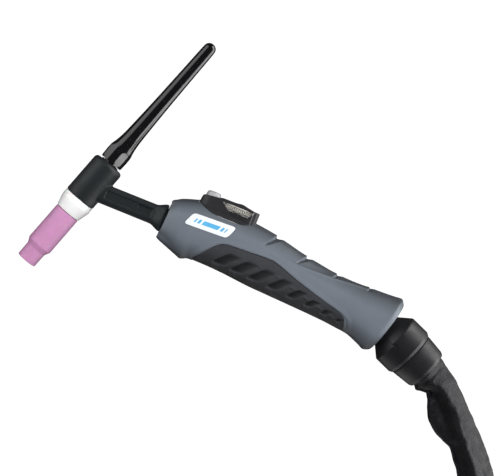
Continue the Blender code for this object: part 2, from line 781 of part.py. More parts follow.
def screw_holes(name, side):
    def below(x, z):
        return SCREW_TIP_Y - GAP

    def above(x, z):
        return 30.0

    shank = rods_across(SCREW_RADIUS + GAP, below, lambda x, z: head_seat_y(x, z) + SLACK, SCREWS)
    holes = [finish_mesh(f"{name}_screw_holes", shank)]
    if side > 0:
        heads = rods_across(SCREW_HEAD_RADIUS + GAP, lambda x, z: head_seat_y(x, z) - GAP, above, SCREWS)
        holes.append(finish_mesh(f"{name}_head_recesses", heads))
    return holes


def make_handle_trim(materials):
    """Soft grip skins, badges and the four screws."""
    for side, name in ((-1.0, "left"), (1.0, "right")):
        skin = grip_rings(side, 0.0, GRIP_THICKNESS, side * GAP / 2.0, 0.0)
        finish_mesh(f"{name}_grip_skin", lofted(skin), materials["grip"])
        plate = badge_rings(side, BADGE_DEPTH, -BADGE_PROUD, 0.0)
        finish_mesh(f"{name}_badge", lofted(plate), materials["badge"])
    for index, (x, z) in enumerate(SCREWS, start=1):
        seat = head_seat_y(x, z)
        profile = [(0.0, seat + SCREW_HEAD_HEIGHT), (SCREW_HEAD_RADIUS, seat + SCREW_HEAD_HEIGHT)]
        profile += [(SCREW_HEAD_RADIUS, seat), (SCREW_RADIUS, seat), (SCREW_RADIUS, SCREW_TIP_Y + 1.0)]
        profile += [(SCREW_RADIUS - 0.8, SCREW_TIP_Y), (0.0, SCREW_TIP_Y)]
        body = turned(profile, 12)
        screw = finish_mesh(f"handle_screw_{index}", body, materials["steel"], place=(x, 0.0, z))
        screw.rotation_euler = (-math.pi / 2.0, 0.0, 0.0)


def saddle_rings():
    """The module's saddle: the handle's own rounded top, cut off below at the saddle's edge."""
    rings = []
    for x in (-57.0, -54.0, -50.0, -45.0, -40.0, -30.0, -20.0, -15.0, -10.0):
        start = angle_at(x, blend_table(SADDLE_EDGE, x)[0])
        angles = steps_between(start, math.pi - start, 12)
        rings.append([section_point(x, angle) for angle in angles])
    return rings


def block_rings():
    """The block on the saddle, sunk a little into it, with chamfered upper edges."""
    rings = []
    for x, half_width, top in BLOCK_STATIONS:
        foot = surface_z(x, half_width) - BLOCK_SINK
        right = [(half_width, foot), (half_width, top - BLOCK_CHAMFER), (half_width - BLOCK_CHAMFER, top)]
        left = [(-y, z) for y, z in reversed(right)]
        rings.append([(x, y, z) for y, z in right + left])
    return rings


def make_module(rooms, materials):
    """Housing of the trigger module, with its pockets and the thumbwheel window."""
    housing = finish_mesh("module_housing", lofted(saddle_rings()), materials["module"])
    combine(housing, "UNION", finish_mesh("module_block", lofted(block_rings())))
    cut(housing, finish_mesh("wheel_window", extruded(WINDOW_OUTLINE, 30.0)))

    wheel_pocket = rod(WHEEL_RADIUS + 0.4, WHEEL_BOTTOM - GAP, WHEEL_TOP + GAP, FINE_ROUND)
    cut(housing, finish_mesh("wheel_pocket", wheel_pocket, place=(WHEEL_X, 0.0, 0.0)))
    pot_way = [(0.0, WHEEL_BOTTOM), (SHAFT_WAY, WHEEL_BOTTOM), (SHAFT_WAY, POT_TOP + GAP)]
    pot_way += [(POT_RADIUS + 2.0 * GAP, POT_TOP + GAP), (POT_RADIUS + 2.0 * GAP, 10.0), (0.0, 10.0)]
    cut(housing, finish_mesh("pot_pocket", turned(pot_way), place=(WHEEL_X, 0.0, 0.0)))

    for tool in rooms:
        cut(housing, tool)

    for side in (-1.0, 1.0):
        middle = side * (BLOCK_HALF_WIDTH + 10.0 - SCALLOP_DEPTH)
        rings = [[(x, middle + end * 10.0, z) for x, z in SCALLOP_OUTLINE] for end in (-1.0, 1.0)]
        cut(housing, finish_mesh(f"scallop_{'left' if side < 0 else 'right'}", lofted(rings)))


def make_switch(materials):
    """Push button, its return spring, the microswitch with its plunger, and the circuit board."""
    profile = [(0.0, BUTTON_TOP), (2.2, BUTTON_TOP - 0.3), (4.2, BUTTON_TOP - 1.3), (5.4, BUTTON_TOP - 2.8)]
    profile += [(BUTTON_RADIUS, BUTTON_TOP - 4.3), (BUTTON_RADIUS, BUTTON_FLANGE_TOP)]
    profile += [(BUTTON_FLANGE, BUTTON_FLANGE_TOP), (BUTTON_FLANGE, BUTTON_FLANGE_BOTTOM)]
    profile += [(BUTTON_HOLLOW, BUTTON_FLANGE_BOTTOM), (BUTTON_HOLLOW, BUTTON_HOLLOW_TOP - 1.4)]
    profile += [(BUTTON_HOLLOW - 1.0, BUTTON_HOLLOW_TOP), (BUTTON_BOSS, BUTTON_HOLLOW_TOP)]
    profile += [(BUTTON_BOSS, BUTTON_BOSS_BOTTOM), (0.0, BUTTON_BOSS_BOTTOM)]
    place = (BUTTON_X, 0.0, 0.0)
    finish_mesh("trigger_button", turned(profile), materials["button"], place=place)
    plunger = rod(PLUNGER_RADIUS, PLUNGER_BOTTOM, BUTTON_BOSS_BOTTOM - GAP, 12)
    finish_mesh("switch_plunger", plunger, materials["steel"], place=place)

    middle = (BUTTON_X, 0.0, SWITCH_TOP - SWITCH_SIZE[2] / 2.0)
    switch = finish_mesh("microswitch", box(SWITCH_SIZE, middle), materials["module"])
    hole = rod(PLUNGER_RADIUS + GAP, PLUNGER_BOTTOM - 2.0, SWITCH_TOP + SLACK, 12)
    cut(switch, finish_mesh("plunger_hole", hole, place=(BUTTON_X, 0.0, 0.0)))

    finish_mesh("trigger_spring", coil(SWITCH_TOP + GAP, BUTTON_HOLLOW_TOP - GAP), materials["steel"])
    finish_mesh("circuit_board", box(BOARD_SIZE, BOARD_MIDDLE), materials["board"])


def coil(bottom, top):
    """A round wire wound in a helix about the button's axis, between two heights."""
    rings = []
    count = SPRING_TURNS * SPRING_STEPS
    rise = (top - bottom - 2.0 * SPRING_WIRE) / count
    for step in range(count + 1):
        turn = math.tau * step / SPRING_STEPS
        height = bottom + SPRING_WIRE + rise * step
        ring = []
        for corner in range(5):
            angle = math.tau * corner / 5
            reach = SPRING_RADIUS + SPRING_WIRE * math.cos(angle)
            x = BUTTON_X + reach * math.cos(turn)
            ring.append((x, reach * math.sin(turn), height + SPRING_WIRE * math.sin(angle)))
        rings.append(ring)
    return lofted(rings)


def make_thumbwheel(materials):
    """Ribbed thumbwheel on the shaft of a potentiometer."""
    rim = []
    for step in range(WHEEL_RIBS * 2):
        angle = math.tau * step / (WHEEL_RIBS * 2)
        reach = WHEEL_RADIUS - (RIB_DEPTH if step % 2 else 0.0)
        rim.append((reach * math.cos(angle), reach * math.sin(angle)))
    rings = [[(x, y, height) for x, y in rim] for height in (WHEEL_BOTTOM, WHEEL_TOP)]
    wheel = finish_mesh("thumbwheel", lofted(rings), materials["wheel"], place=(WHEEL_X, 0.0, 0.0))
    bore = rod(SHAFT_RADIUS + GAP, WHEEL_BOTTOM - SLACK, WHEEL_TOP - SLACK, 16)
    cut(wheel, finish_mesh("wheel_bore", bore, place=(WHEEL_X, 0.0, 0.0)))

    shaft_bottom, shaft_top = POT_BOTTOM + 1.2, WHEEL_TOP - SLACK - GAP
    shaft = rod(SHAFT_RADIUS, shaft_bottom, shaft_top, 12)
    finish_mesh("potentiometer_shaft", shaft, materials["steel"], place=(WHEEL_X, 0.0, 0.0))

    pot = [(0.0, POT_BOTTOM + 0.8), (SHAFT_RADIUS + GAP, POT_BOTTOM + 0.8), (SHAFT_RADIUS + GAP, POT_TOP)]
    pot += [(POT_RADIUS, POT_TOP), (POT_RADIUS, POT_BOTTOM), (0.0, POT_BOTTOM)]
    finish_mesh("potentiometer", turned(pot, 20), materials["module"], place=(WHEEL_X, 0.0, 0.0))


def hex_rings(radius, stations):
    rings = []
    for x in stations:
        corners = [math.tau * (step + 0.5) / 6 for step in range(6)]
        rings.append([(x, radius * math.cos(angle), radius * math.sin(angle)) for angle in corners])
    return rings


def make_inner_cables(materials):
    """Power fitting on the neck tube, its crimped ferrule, and both cables up to the ball joint."""
    hexagon = lofted(hex_rings(NUT_RADIUS, (NUT_FRONT, NUT_REAR)))
    nut = finish_mesh("power_cable_nut", hexagon, materials["brass"])
    tube_way = swept([(NUT_FRONT - SLACK, 0.0), (NUT_FRONT + 4.0, 0.0)], [TUBE_RADIUS + GAP] * 2)
    cut(nut, finish_mesh("nut_front_hole", tube_way))
    gas_way = swept([(NUT_FRONT, 0.0), (NUT_REAR + SLACK, 0.0)], [2.0] * 2)
    cut(nut, finish_mesh("nut_gas_way", gas_way))

    ferrule_front = NUT_REAR + GAP
    ferrule = swept([(ferrule_front, 0.0), (FERRULE_REAR, 0.0)], [FERRULE_RADIUS] * 2, 20)
    ferrule = finish_mesh("cable_ferrule", ferrule, materials["copper"])
    bore_ends = [(ferrule_front - SLACK, 0.0), (FERRULE_REAR + SLACK, 0.0)]
    cable_way = swept(bore_ends, [CABLE_RADIUS + GAP] * 2, 20)
    cut(ferrule, finish_mesh("ferrule_bore", cable_way))

    end = along_axis(BALL_X, BALL_Z, SOCKET_ANGLE, -14.0)
    path = [(ferrule_front + GAP, 0.0), (FERRULE_REAR, 0.0), (-10.0, -1.0), (20.0, -4.5), (45.0, -5.5)]
    path += [(62.0, -4.8), (74.0, -4.0), end]
    finish_mesh("power_cable_front", swept(path, [CABLE_RADIUS] * len(path), 20), materials["rubber"])
    control_end = offset_path([path[-2], path[-1]], CABLE_RADIUS + CONTROL_RADIUS + 0.7)[1]
    control = [(-25.0, 12.0), (-14.0, 10.2), (0.0, 7.5), (20.0, 3.8), (45.0, 2.6), (62.0, 2.7), (73.0, 3.2)]
    control.append(control_end)
    control_bar = swept(control, [CONTROL_RADIUS] * len(control), 12)
    finish_mesh("control_cable_front", control_bar, materials["rubber"])


def make_ball_joint(socket, knuckle, materials):
    """Seat ring in the handle, hollow ball, and the collar and clamp ring behind it."""
    hollow_radius = BALL_RADIUS + GAP
    lip = math.sqrt(hollow_radius**2 - SEAT_HALF_LENGTH**2)
    reach = math.asin(SEAT_HALF_LENGTH / hollow_radius)
    hollow = steps_between(-reach, reach, 5)
    seat = [(SEAT_RADIUS, SEAT_HALF_LENGTH), (SEAT_RADIUS, -SEAT_HALF_LENGTH), (lip, -SEAT_HALF_LENGTH)]
    seat += [(hollow_radius * math.cos(turn), hollow_radius * math.sin(turn)) for turn in hollow[1:-1]]
    seat += [(lip, SEAT_HALF_LENGTH)]
    finish_mesh("ball_seat_ring", turned(seat, FINE_ROUND), materials["acetal"], socket)

    rear = math.asin(BALL_NECK / BALL_RADIUS)
    front = math.asin(BALL_BORE / BALL_RADIUS)
    bend = steps_between(rear, math.pi - front, 9)
    ball = [(BALL_NECK, BALL_NECK_REAR)]
    ball += [(BALL_RADIUS * math.sin(turn), BALL_RADIUS * math.cos(turn)) for turn in bend]
    ball += [(BALL_BORE, BALL_NECK_REAR)]
    finish_mesh("knuckle_ball", turned(ball, FINE_ROUND), materials["knuckle"], knuckle)

    collar = [(COLLAR_FRONT_RADIUS, COLLAR_FRONT), (COLLAR_BORE, COLLAR_FRONT), (COLLAR_BORE, TAIL_REAR)]
    collar += [(TAIL_RADIUS, TAIL_REAR), (TAIL_RADIUS, COLLAR_REAR), (COLLAR_BACK_RADIUS, COLLAR_REAR)]
    collar += [(COLLAR_RADIUS, COLLAR_REAR - 2.1), (COLLAR_RADIUS, COLLAR_SHOULDER)]
    finish_mesh("knuckle_collar", turned(collar, FINE_ROUND), materials["knuckle"], knuckle)

    clamp = [(CLAMP_FRONT_RADIUS - 0.4, CLAMP_FRONT), (CLAMP_BORE, CLAMP_FRONT), (CLAMP_BORE, CLAMP_REAR)]
    clamp += [(CLAMP_REAR_RADIUS - 0.6, CLAMP_REAR), (CLAMP_REAR_RADIUS, CLAMP_REAR - 1.0)]
    clamp += [(CLAMP_FRONT_RADIUS, CLAMP_FRONT + 1.0)]
    finish_mesh("sleeve_clamp_ring", turned(clamp, FINE_ROUND), materials["knuckle"], knuckle)


def make_cable_end(materials):
    """Leather sleeve and the two cables inside it, cut off square at the far end."""
    path, radii = sleeve_path(SLEEVE_START)
    steps = 22
    outer = [ring_across(path, index, radius, steps) for index, radius in enumerate(radii)]
    inner = [ring_across(path, index, radius - SLEEVE_WALL, steps) for index, radius in enumerate(radii)]
    finish_mesh("leather_sleeve", lofted(outer + inner[::-1], loop=True), materials["leather"])

    centre, _ = sleeve_path(TAIL_REAR)
    lead = [knuckle_point(distance) for distance in (-7.0, 10.0, 25.0, 40.0)]
    for name, offset, radius in (
        ("power_cable", CABLE_OFFSET, CABLE_RADIUS),
        ("control_cable", CONTROL_OFFSET, CONTROL_RADIUS),
    ):
        line = offset_path(lead + centre[1:], offset)
        bar = swept(line, [radius] * len(line), 16 if radius > 2.0 else 10)
        finish_mesh(name, bar, materials["rubber"])


def main():
    clear_scene()
    materials = make_materials()
    head_axis = make_axis("head_axis", HEAD_X, 0.0, HEAD_ANGLE)
    socket_axis = make_axis("socket_axis", BALL_X, BALL_Z, SOCKET_ANGLE)
    knuckle_axis = make_axis("knuckle_axis", BALL_X, BALL_Z, KNUCKLE_ANGLE)
    make_head(head_axis, materials)
    make_consumables(head_axis, materials)
    make_back_cap(head_axis, materials)
    rooms = (board_cutter(), button_cutter())
    make_handle(socket_axis, rooms, materials)
    make_handle_trim(materials)
    make_module(rooms, materials)
    make_switch(materials)
    make_thumbwheel(materials)
    make_inner_cables(materials)
    make_ball_joint(socket_axis, knuckle_axis, materials)
    make_cable_end(materials)


main()
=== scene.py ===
"""Looks of a TIG welding torch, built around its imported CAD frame.

Shapes are worked out in millimetres and turned into metres when a mesh is made. +X runs along the
handle towards the cable, +Z towards the trigger, and the camera looks along +Y at the left side.
"""

import json
import math

import bmesh
import bpy
import numpy as np
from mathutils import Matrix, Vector, noise


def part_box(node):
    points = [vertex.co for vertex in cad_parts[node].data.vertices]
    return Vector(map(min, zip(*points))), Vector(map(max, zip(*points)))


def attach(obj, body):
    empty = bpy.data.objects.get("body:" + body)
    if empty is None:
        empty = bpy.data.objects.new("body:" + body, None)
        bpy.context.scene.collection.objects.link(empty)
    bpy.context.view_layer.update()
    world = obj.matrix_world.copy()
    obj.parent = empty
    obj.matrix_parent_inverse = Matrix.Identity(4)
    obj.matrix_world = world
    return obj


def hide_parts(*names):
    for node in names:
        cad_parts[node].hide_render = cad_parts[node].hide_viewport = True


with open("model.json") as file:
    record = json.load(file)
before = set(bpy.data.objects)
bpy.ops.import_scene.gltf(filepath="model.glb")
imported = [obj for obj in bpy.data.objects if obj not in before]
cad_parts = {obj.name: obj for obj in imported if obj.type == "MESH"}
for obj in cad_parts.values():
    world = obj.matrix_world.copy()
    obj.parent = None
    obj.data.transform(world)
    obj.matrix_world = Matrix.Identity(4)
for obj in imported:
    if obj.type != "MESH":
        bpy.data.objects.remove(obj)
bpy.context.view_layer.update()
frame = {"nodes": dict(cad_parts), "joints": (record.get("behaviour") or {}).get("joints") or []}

MM = 0.001
MICRON = 0.000001
SEAM = 0.3
SHARP_ANGLE = 32.0
LEFT, RIGHT = -1.0, 1.0
SIDES = ((LEFT, "left"), (RIGHT, "right"))


# --- Curves and tables


def smoothstep(value):
    share = np.clip(value, 0.0, 1.0)
    return share * share * (3.0 - 2.0 * share)


def bell(value):
    return np.exp(-np.square(value))


def curve_through(knots, values, x):
    """A smooth curve through (knots, values) that never overshoots them, read at x."""
    knots, values, x = (np.asarray(part, float) for part in (knots, values, x))
    width = np.diff(knots)
    slope = np.diff(values) / width
    same_way = slope[:-1] * slope[1:] > 0.0
    mean = 2.0 * slope[:-1] * slope[1:] / np.where(same_way, slope[:-1] + slope[1:], 1.0)
    tangent = np.concatenate([slope[:1], np.where(same_way, mean, 0.0), slope[-1:]])
    index = np.clip(np.searchsorted(knots, x) - 1, 0, len(width) - 1)
    share = np.clip((x - knots[index]) / width[index], 0.0, 1.0)
    step = smoothstep(share)
    bend_in = share * (1.0 - share) ** 2 * width[index] * tangent[index]
    bend_out = share**2 * (share - 1.0) * width[index] * tangent[index + 1]
    return values[index] * (1.0 - step) + values[index + 1] * step + bend_in + bend_out


def table_at(table, x):
    """Every column of a table after its first, read at x as smooth curves."""
    table = np.array(table)
    return [curve_through(table[:, 0], column, x) for column in table.T[1:]]


def rounded(outline, radius, steps=4, loop=True):
    """The outline with each corner replaced by a short curve that reaches radius along both sides."""
    points = [np.array(point, float) for point in outline]
    made = []
    for index, corner in enumerate(points):
        if not loop and index in (0, len(points) - 1):
            made.append(corner)
            continue
        before, after = points[index - 1] - corner, points[(index + 1) % len(points)] - corner
        lengths = np.linalg.norm(before), np.linalg.norm(after)
        reach = min(radius, 0.45 * lengths[0], 0.45 * lengths[1])
        start, end = corner + before / lengths[0] * reach, corner + after / lengths[1] * reach
        for share in np.linspace(0.0, 1.0, steps + 1):
            made.append(start * (1 - share) ** 2 + corner * 2 * share * (1 - share) + end * share**2)
    return np.array(made)


def rectangle(low_x, low_z, high_x, high_z):
    return [(low_x, low_z), (high_x, low_z), (high_x, high_z), (low_x, high_z)]


def on_side(side, near, far):
    """Low and high level between two distances from the middle plane, on one side of it."""
    return sorted((side * near, side * far))


def steps_round(count):
    return np.linspace(0.0, math.tau, count, endpoint=False)


def signed_power(value, power):
    return np.sign(value) * np.abs(value) ** power


def unit(vectors):
    return vectors / np.maximum(np.linalg.norm(vectors, axis=-1, keepdims=True), 1e-9)


def distance_to_line(x, z, line):
    """Distance from points (x, z) to a polyline of (x, z) points."""
    nearest = np.full(np.shape(x), 1e9)
    for (ax, az), (bx, bz) in zip(line, line[1:]):
        run, rise = bx - ax, bz - az
        share = np.clip(((x - ax) * run + (z - az) * rise) / (run * run + rise * rise), 0.0, 1.0)
        nearest = np.minimum(nearest, np.hypot(x - ax - share * run, z - az - share * rise))
    return nearest


# --- The frame: joint axes, and where CAD nodes lie along them


class Axis:
    """A joint's axis in the XZ plane; stations along it are millimetres from its origin.

    The origin is the joint's own place, or the axis's point at height through_level.
    """

    def __init__(self, joint_name, flip=1.0, through_level=None):
        joint = next(j for j in frame["joints"] if j["name"] == joint_name)
        self.along = np.array(joint["axis"]) * flip
        self.across = np.array([self.along[2], 0.0, -self.along[0]])
        self.origin = np.array(joint["pos_m"]) / MM
        if through_level is not None:
            self.origin = self.origin + self.along * (through_level - self.origin[2]) / self.along[2]

    def point(self, radius, angle, station):
        """World points at polar coordinates about the axis, with angle 0 towards self.across."""
        radius, angle, station = np.broadcast_arrays(radius, angle, station)
        spread = (radius * np.cos(angle))[..., None] * self.across
        depth = (radius * np.sin(angle))[..., None] * np.array([0.0, 1.0, 0.0])
        return self.origin + spread + depth + station[..., None] * self.along

    def stations(self, node):
        """First and last station, and the largest radius, of a CAD node."""
        co = points_of(frame["nodes"][node]) - self.origin
        run = co @ self.along
        off = np.linalg.norm(co - run[:, None] * self.along, axis=1)
        return run.min(), run.max(), off.max()


def points_of(obj):
    """The points of an object's mesh, in millimetres."""
    return np.array([vertex.co for vertex in obj.data.vertices]) / MM


def node_box(node):
    low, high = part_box(node)
    return np.array(low) / MM, np.array(high) / MM


def upright_part(node):
    """Centre (x, y), radius, bottom and top of a round part that stands upright in the middle plane."""
    low, high = node_box(node)
    return ((low[0] + high[0]) / 2.0, 0.0), (high[0] - low[0]) / 2.0, low[2], high[2]


HEAD = Axis("nozzle_turn", flip=-1.0, through_level=0.0)
SOCKET = Axis("ball_swivel")
KNUCKLE = Axis("cable_turn")
UPRIGHT = "upright"


# --- Meshes


def new_object(name, points, faces):
    mesh = bpy.data.meshes.new(name)
    mesh.from_pydata((np.asarray(points).reshape(-1, 3) * MM).tolist(), [], faces)
    bm = bmesh.new()
    bm.from_mesh(mesh)
    bmesh.ops.recalc_face_normals(bm, faces=bm.faces)
    bm.to_mesh(mesh)
    bm.free()
    obj = bpy.data.objects.new(name, mesh)
    bpy.context.scene.collection.objects.link(obj)
    return obj


def skin(name, rings, loop=False):
    """A closed solid through rings of equal length, capped at both ends or joined end to start."""
    rings = np.asarray(rings)
    count, size = rings.shape[:2]
    index = np.arange(count * size).reshape(count, size)
    index = np.concatenate([index, index[:1]]) if loop else index
    faces = quads_between(index)
    if not loop:
        faces += [index[0].tolist(), index[-1].tolist()]
    return new_object(name, rings, faces)


def quads_between(index):
    """Faces between neighbouring rows of point numbers, each row closed on itself."""
    turned = np.roll(index, -1, axis=1)
    quads = np.stack([index[:-1], turned[:-1], turned[1:], index[1:]], axis=-1)
    return quads.reshape(-1, 4).tolist()


def prism(name, outline, low, high, plane="XZ"):
    """An outline of points in the XZ or XY plane, extruded along the third direction from low to high."""
    outline = np.asarray(outline)
    first, second = outline[:, 0], outline[:, 1]
    rings = []
    for end in (low, high):
        level = np.full(len(outline), end)
        columns = (first, level, second) if plane == "XZ" else (first, second, level)
        rings.append(np.stack(columns, axis=1))
    return skin(name, rings)


def turned_about(name, axis, profile, steps=96, loop=True, centre=(0.0, 0.0), shape=None):
    """Revolves a profile of (radius, station) about an axis, or about a vertical through centre.

    A loop profile bounds the whole section of a bored piece. An open one runs over a solid piece,
    from the rim of one end face to the rim of the other. shape may change (radius, angle, station).
    """
    profile = np.asarray(profile)
    radius, angle = np.meshgrid(profile[:, 0], steps_round(steps), indexing="ij")
    station = np.broadcast_to(profile[:, 1:2], radius.shape)
    if shape:
        radius, angle, station = shape(radius, angle, station)
    if axis is UPRIGHT:
        x, y = centre[0] + radius * np.cos(angle), centre[1] + radius * np.sin(angle)
        rings = np.stack([x, y, station], axis=-1)
    else:
        rings = axis.point(radius, angle, station)
    return skin(name, rings, loop=loop)


def rod(name, axis, radius, start, end, steps, centre=(0.0, 0.0)):
    """A plain round bar, for cutting bores."""
    return turned_about(name, axis, [(radius, start), (radius, end)], steps, loop=False, centre=centre)


def apply_modifiers(obj):
    bpy.context.view_layer.update()
    graph = bpy.context.evaluated_depsgraph_get()
    mesh = bpy.data.meshes.new_from_object(obj.evaluated_get(graph), depsgraph=graph)
    obj.modifiers.clear()
    obj.data = mesh


def combine(obj, tools, operation="DIFFERENCE"):
    """Cuts the tools out of the object, or joins them to it, and removes them."""
    for tool in tools:
        modifier = obj.modifiers.new(tool.name, "BOOLEAN")
        modifier.operation = operation
        modifier.solver = "MANIFOLD"
        modifier.object = tool
    apply_modifiers(obj)
    for tool in tools:
        bpy.data.objects.remove(tool)
    return obj


def soften(obj, voxel, smoothing):
    """Melts edges and joints into small moulded fillets."""
    remesh = obj.modifiers.new("melt", "REMESH")
    remesh.mode = "VOXEL"
    remesh.voxel_size = voxel * MM
    smooth = obj.modifiers.new("smooth", "SMOOTH")
    smooth.factor = 0.5
    smooth.iterations = smoothing
    apply_modifiers(obj)


def finish_piece(obj, body, slot_name, *nodes, look=None, sharp=SHARP_ANGLE):
    """Shades the piece, gives it its material, and rides it on its CAD body."""
    obj.data.shade_smooth()
    obj.data.set_sharp_from_angle(angle=math.radians(sharp))
    obj.data.materials.clear()
    obj.data.materials.append(MATERIALS[look or slot_name])
    if nodes:
        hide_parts(*nodes)
    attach(obj, body)


def join(obj, others):
    """Adds the other objects' meshes to obj as separate shells, and removes the others."""
    bm = bmesh.new()
    bm.from_mesh(obj.data)
    for other in others:
        bm.from_mesh(other.data)
        bpy.data.objects.remove(other)
    bm.to_mesh(obj.data)
    bm.free()
    return obj


def mark_sunken(obj, values):
    """Stores the values on the first points of the mesh, for the painted shade in sunken places, and 0 on the
    rest.
    """
    layer = obj.data.attributes.new("sunken", "FLOAT", "POINT")
    depths = np.zeros(len(obj.data.vertices), dtype=np.float32)
    depths[: values.size] = values.ravel()
    layer.data.foreach_set("value", depths)


# --- Materials


def link(tree, source, target):
    tree.links.new(source, target)


def new_node(tree, kind, inputs=None, **settings):
    node = tree.nodes.new(kind)
    for name, value in settings.items():
        setattr(node, name, value)
    for name, value in (inputs or {}).items():
        if isinstance(value, bpy.types.NodeSocket):
            link(tree, value, node.inputs[name])
        else:
            node.inputs[name].default_value = value
    return node


def remap(tree, value, low, high, source=(0.3, 0.7)):
    limits = {"From Min": source[0], "From Max": source[1], "To Min": low, "To Max": high}
    return new_node(tree, "ShaderNodeMapRange", {"Value": value, **limits}).outputs["Result"]


def scaled(colour, factor):
    return tuple(min(channel * factor, 1.0) for channel in colour)


class Look:
    """A Principled material in the making. It starts with mottled colour and uneven roughness."""

    def __init__(self, name, rough, colour, spread, mottle_scale=45.0):
        self.material = bpy.data.materials.new(name)
        self.material.use_nodes = True
        self.tree = self.material.node_tree
        self.sockets = self.tree.nodes["Principled BSDF"].inputs
        self.place = self.node("ShaderNodeTexCoord").outputs["Object"]
        self.colour = colour
        mottle = self.remap(self.noise(mottle_scale, 5.0), 0.0, 1.0)
        self.paint(self.mix(mottle, scaled(colour, 1.0 - spread), scaled(colour, 1.0 + spread)))
        link(self.tree, self.remap(self.noise(160.0, 4.0), *rough), self.sockets["Roughness"])

    def node(self, kind, inputs=None, **settings):
        return new_node(self.tree, kind, inputs, **settings)

    def remap(self, value, low, high, source=(0.3, 0.7)):
        return remap(self.tree, value, low, high, source)

    def noise(self, scale, detail=3.0, roughness=0.55):
        settings = {"Vector": self.place, "Scale": scale, "Detail": detail, "Roughness": roughness}
        return self.node("ShaderNodeTexNoise", settings).outputs["Fac"]

    def lathe_rings(self, axis, scale):
        """Fine ridges that run round an axis: noise of the station along it."""
        direction = (0.0, 0.0, 1.0) if axis is None else tuple(axis.along)
        along = self.node("ShaderNodeVectorMath", {0: self.place, 1: direction}, operation="DOT_PRODUCT")
        inputs = {"W": along.outputs["Value"], "Scale": scale, "Detail": 3.0}
        return self.node("ShaderNodeTexNoise", inputs, noise_dimensions="1D").outputs["Fac"]

    def mix(self, amount, first, second):
        """A colour between first and second by amount from 0 to 1."""
        node = self.node("ShaderNodeMix", {"Factor": amount}, data_type="RGBA")
        colours = [socket for socket in node.inputs if socket.type == "RGBA"]
        for socket, colour in zip(colours, (first, second)):
            if isinstance(colour, bpy.types.NodeSocket):
                link(self.tree, colour, socket)
            else:
                socket.default_value = (*colour, 1.0)
        return next(socket for socket in node.outputs if socket.type == "RGBA")

    def painted(self):
        return self.sockets["Base Color"].links[0].from_socket

    def paint(self, colour):
        link(self.tree, colour, self.sockets["Base Color"])

    def tint(self, amount, colour):
        """Blends the colour there is towards another by amount."""
        self.paint(self.mix(amount, self.painted(), colour))

    def tint_scaled(self, amount, factor):
        """Blends the colour there is towards a scaled copy of the plain one."""
        self.tint(amount, scaled(self.colour, factor))

    def speckle(self, scale, detail, roughness, most, source, factor):
        """Blends up to most of a scaled colour in where a noise is high."""
        spots = self.noise(scale, detail, roughness)
        self.tint_scaled(self.remap(spots, 0.0, most, source=source), factor)

    def bump(self, height, microns):
        """Lays relief over any relief there is."""
        normal = self.sockets["Normal"]
        inputs = {"Height": height, "Distance": microns * MICRON, "Strength": 1.0}
        if normal.links:
            inputs["Normal"] = normal.links[0].from_socket
        link(self.tree, self.node("ShaderNodeBump", inputs).outputs["Normal"], normal)

    def wear_edges(self):
        """Rubbed, slightly lighter colour along convex edges."""
        edge = self.node("ShaderNodeNewGeometry").outputs["Pointiness"]
        self.tint_scaled(self.remap(edge, 0.0, 0.5, source=(0.53, 0.6)), 1.3)

    def paint_shade_turned(self):
        """Painted shade: the colour darkens where the surface turns under or over; the upright flanks keep
        the plain colour.
        """
        apart = self.node("ShaderNodeSeparateXYZ", {0: self.node("ShaderNodeTexCoord").outputs["Normal"]})
        facing = self.node("ShaderNodeMath", {0: apart.outputs["Z"]}, operation="ABSOLUTE")
        self.tint_scaled(self.remap(facing.outputs["Value"], 0.0, 1.0, source=(0.26, 0.86)), 0.42)

    def paint_shade_sunken(self, factor):
        """Painted shade: the colour darkens where points of the mesh are marked as sunken."""
        depth = self.node("ShaderNodeAttribute", attribute_name="sunken").outputs["Fac"]
        self.tint_scaled(self.remap(depth, 0.0, 0.85, source=(0.0, 0.9)), factor)

    def set_inputs(self, values):
        for name, value in values.items():
            self.sockets[name].default_value = value


def moulded_plastic(name, colour, rough, grain, grain_scale, spread):
    """Spark-eroded mould grain, with faint long-wave sink marks under it."""
    look = Look(name, rough, colour, spread)
    look.bump(look.noise(30.0, 1.0), 250)
    look.bump(look.noise(grain_scale, 2.0), grain)
    return look


def soft_rubber(name, colour, rough):
    """Matt elastomer with a dusty bloom."""
    look = Look(name, rough, colour, 0.12)
    look.speckle(600.0, 6.0, 0.7, 0.35, (0.52, 0.75), 1.8)
    look.bump(look.noise(1800.0), 40)
    return look


def gloss_phenolic(name, colour):
    """Deep black thermoset: glossy, with slight flow waves and smears."""
    look = Look(name, (0.12, 0.2), colour, 0.2)
    look.bump(look.noise(160.0, 2.0), 20)
    look.set_inputs({"Coat Weight": 0.3, "Coat Roughness": 0.1})
    return look


def fired_ceramic(name, colour):
    """Pink alumina: matt, with a fine sugary grain and darker specks."""
    look = Look(name, (0.5, 0.68), colour, 0.05, mottle_scale=90.0)
    look.speckle(1600.0, 2.0, 0.7, 0.4, (0.62, 0.8), 0.55)
    look.bump(look.noise(2400.0, 3.0, 0.7), 30)
    look.set_inputs({"Subsurface Weight": 0.08, "Subsurface Scale": 0.002})
    return look


def turned_plastic(name, colour, axis):
    """Machined white plastic with faint lathe rings round its axis."""
    look = Look(name, (0.38, 0.5), colour, 0.015)
    look.bump(look.lathe_rings(axis, 2600.0), 15)
    look.set_inputs({"Subsurface Weight": 0.1, "Subsurface Scale": 0.003})
    return look


def worked_metal(name, colour, tarnish, rough, axis=None):
    """Turned or drawn metal with tool marks and patches of tarnish."""
    look = Look(name, rough, colour, 0.08)
    look.tint(look.remap(look.noise(120.0, 5.0, 0.65), 0.0, 0.6, source=(0.5, 0.72)), tarnish)
    look.bump(look.lathe_rings(axis, 2200.0), 10)
    look.set_inputs({"Metallic": 1.0})
    return look


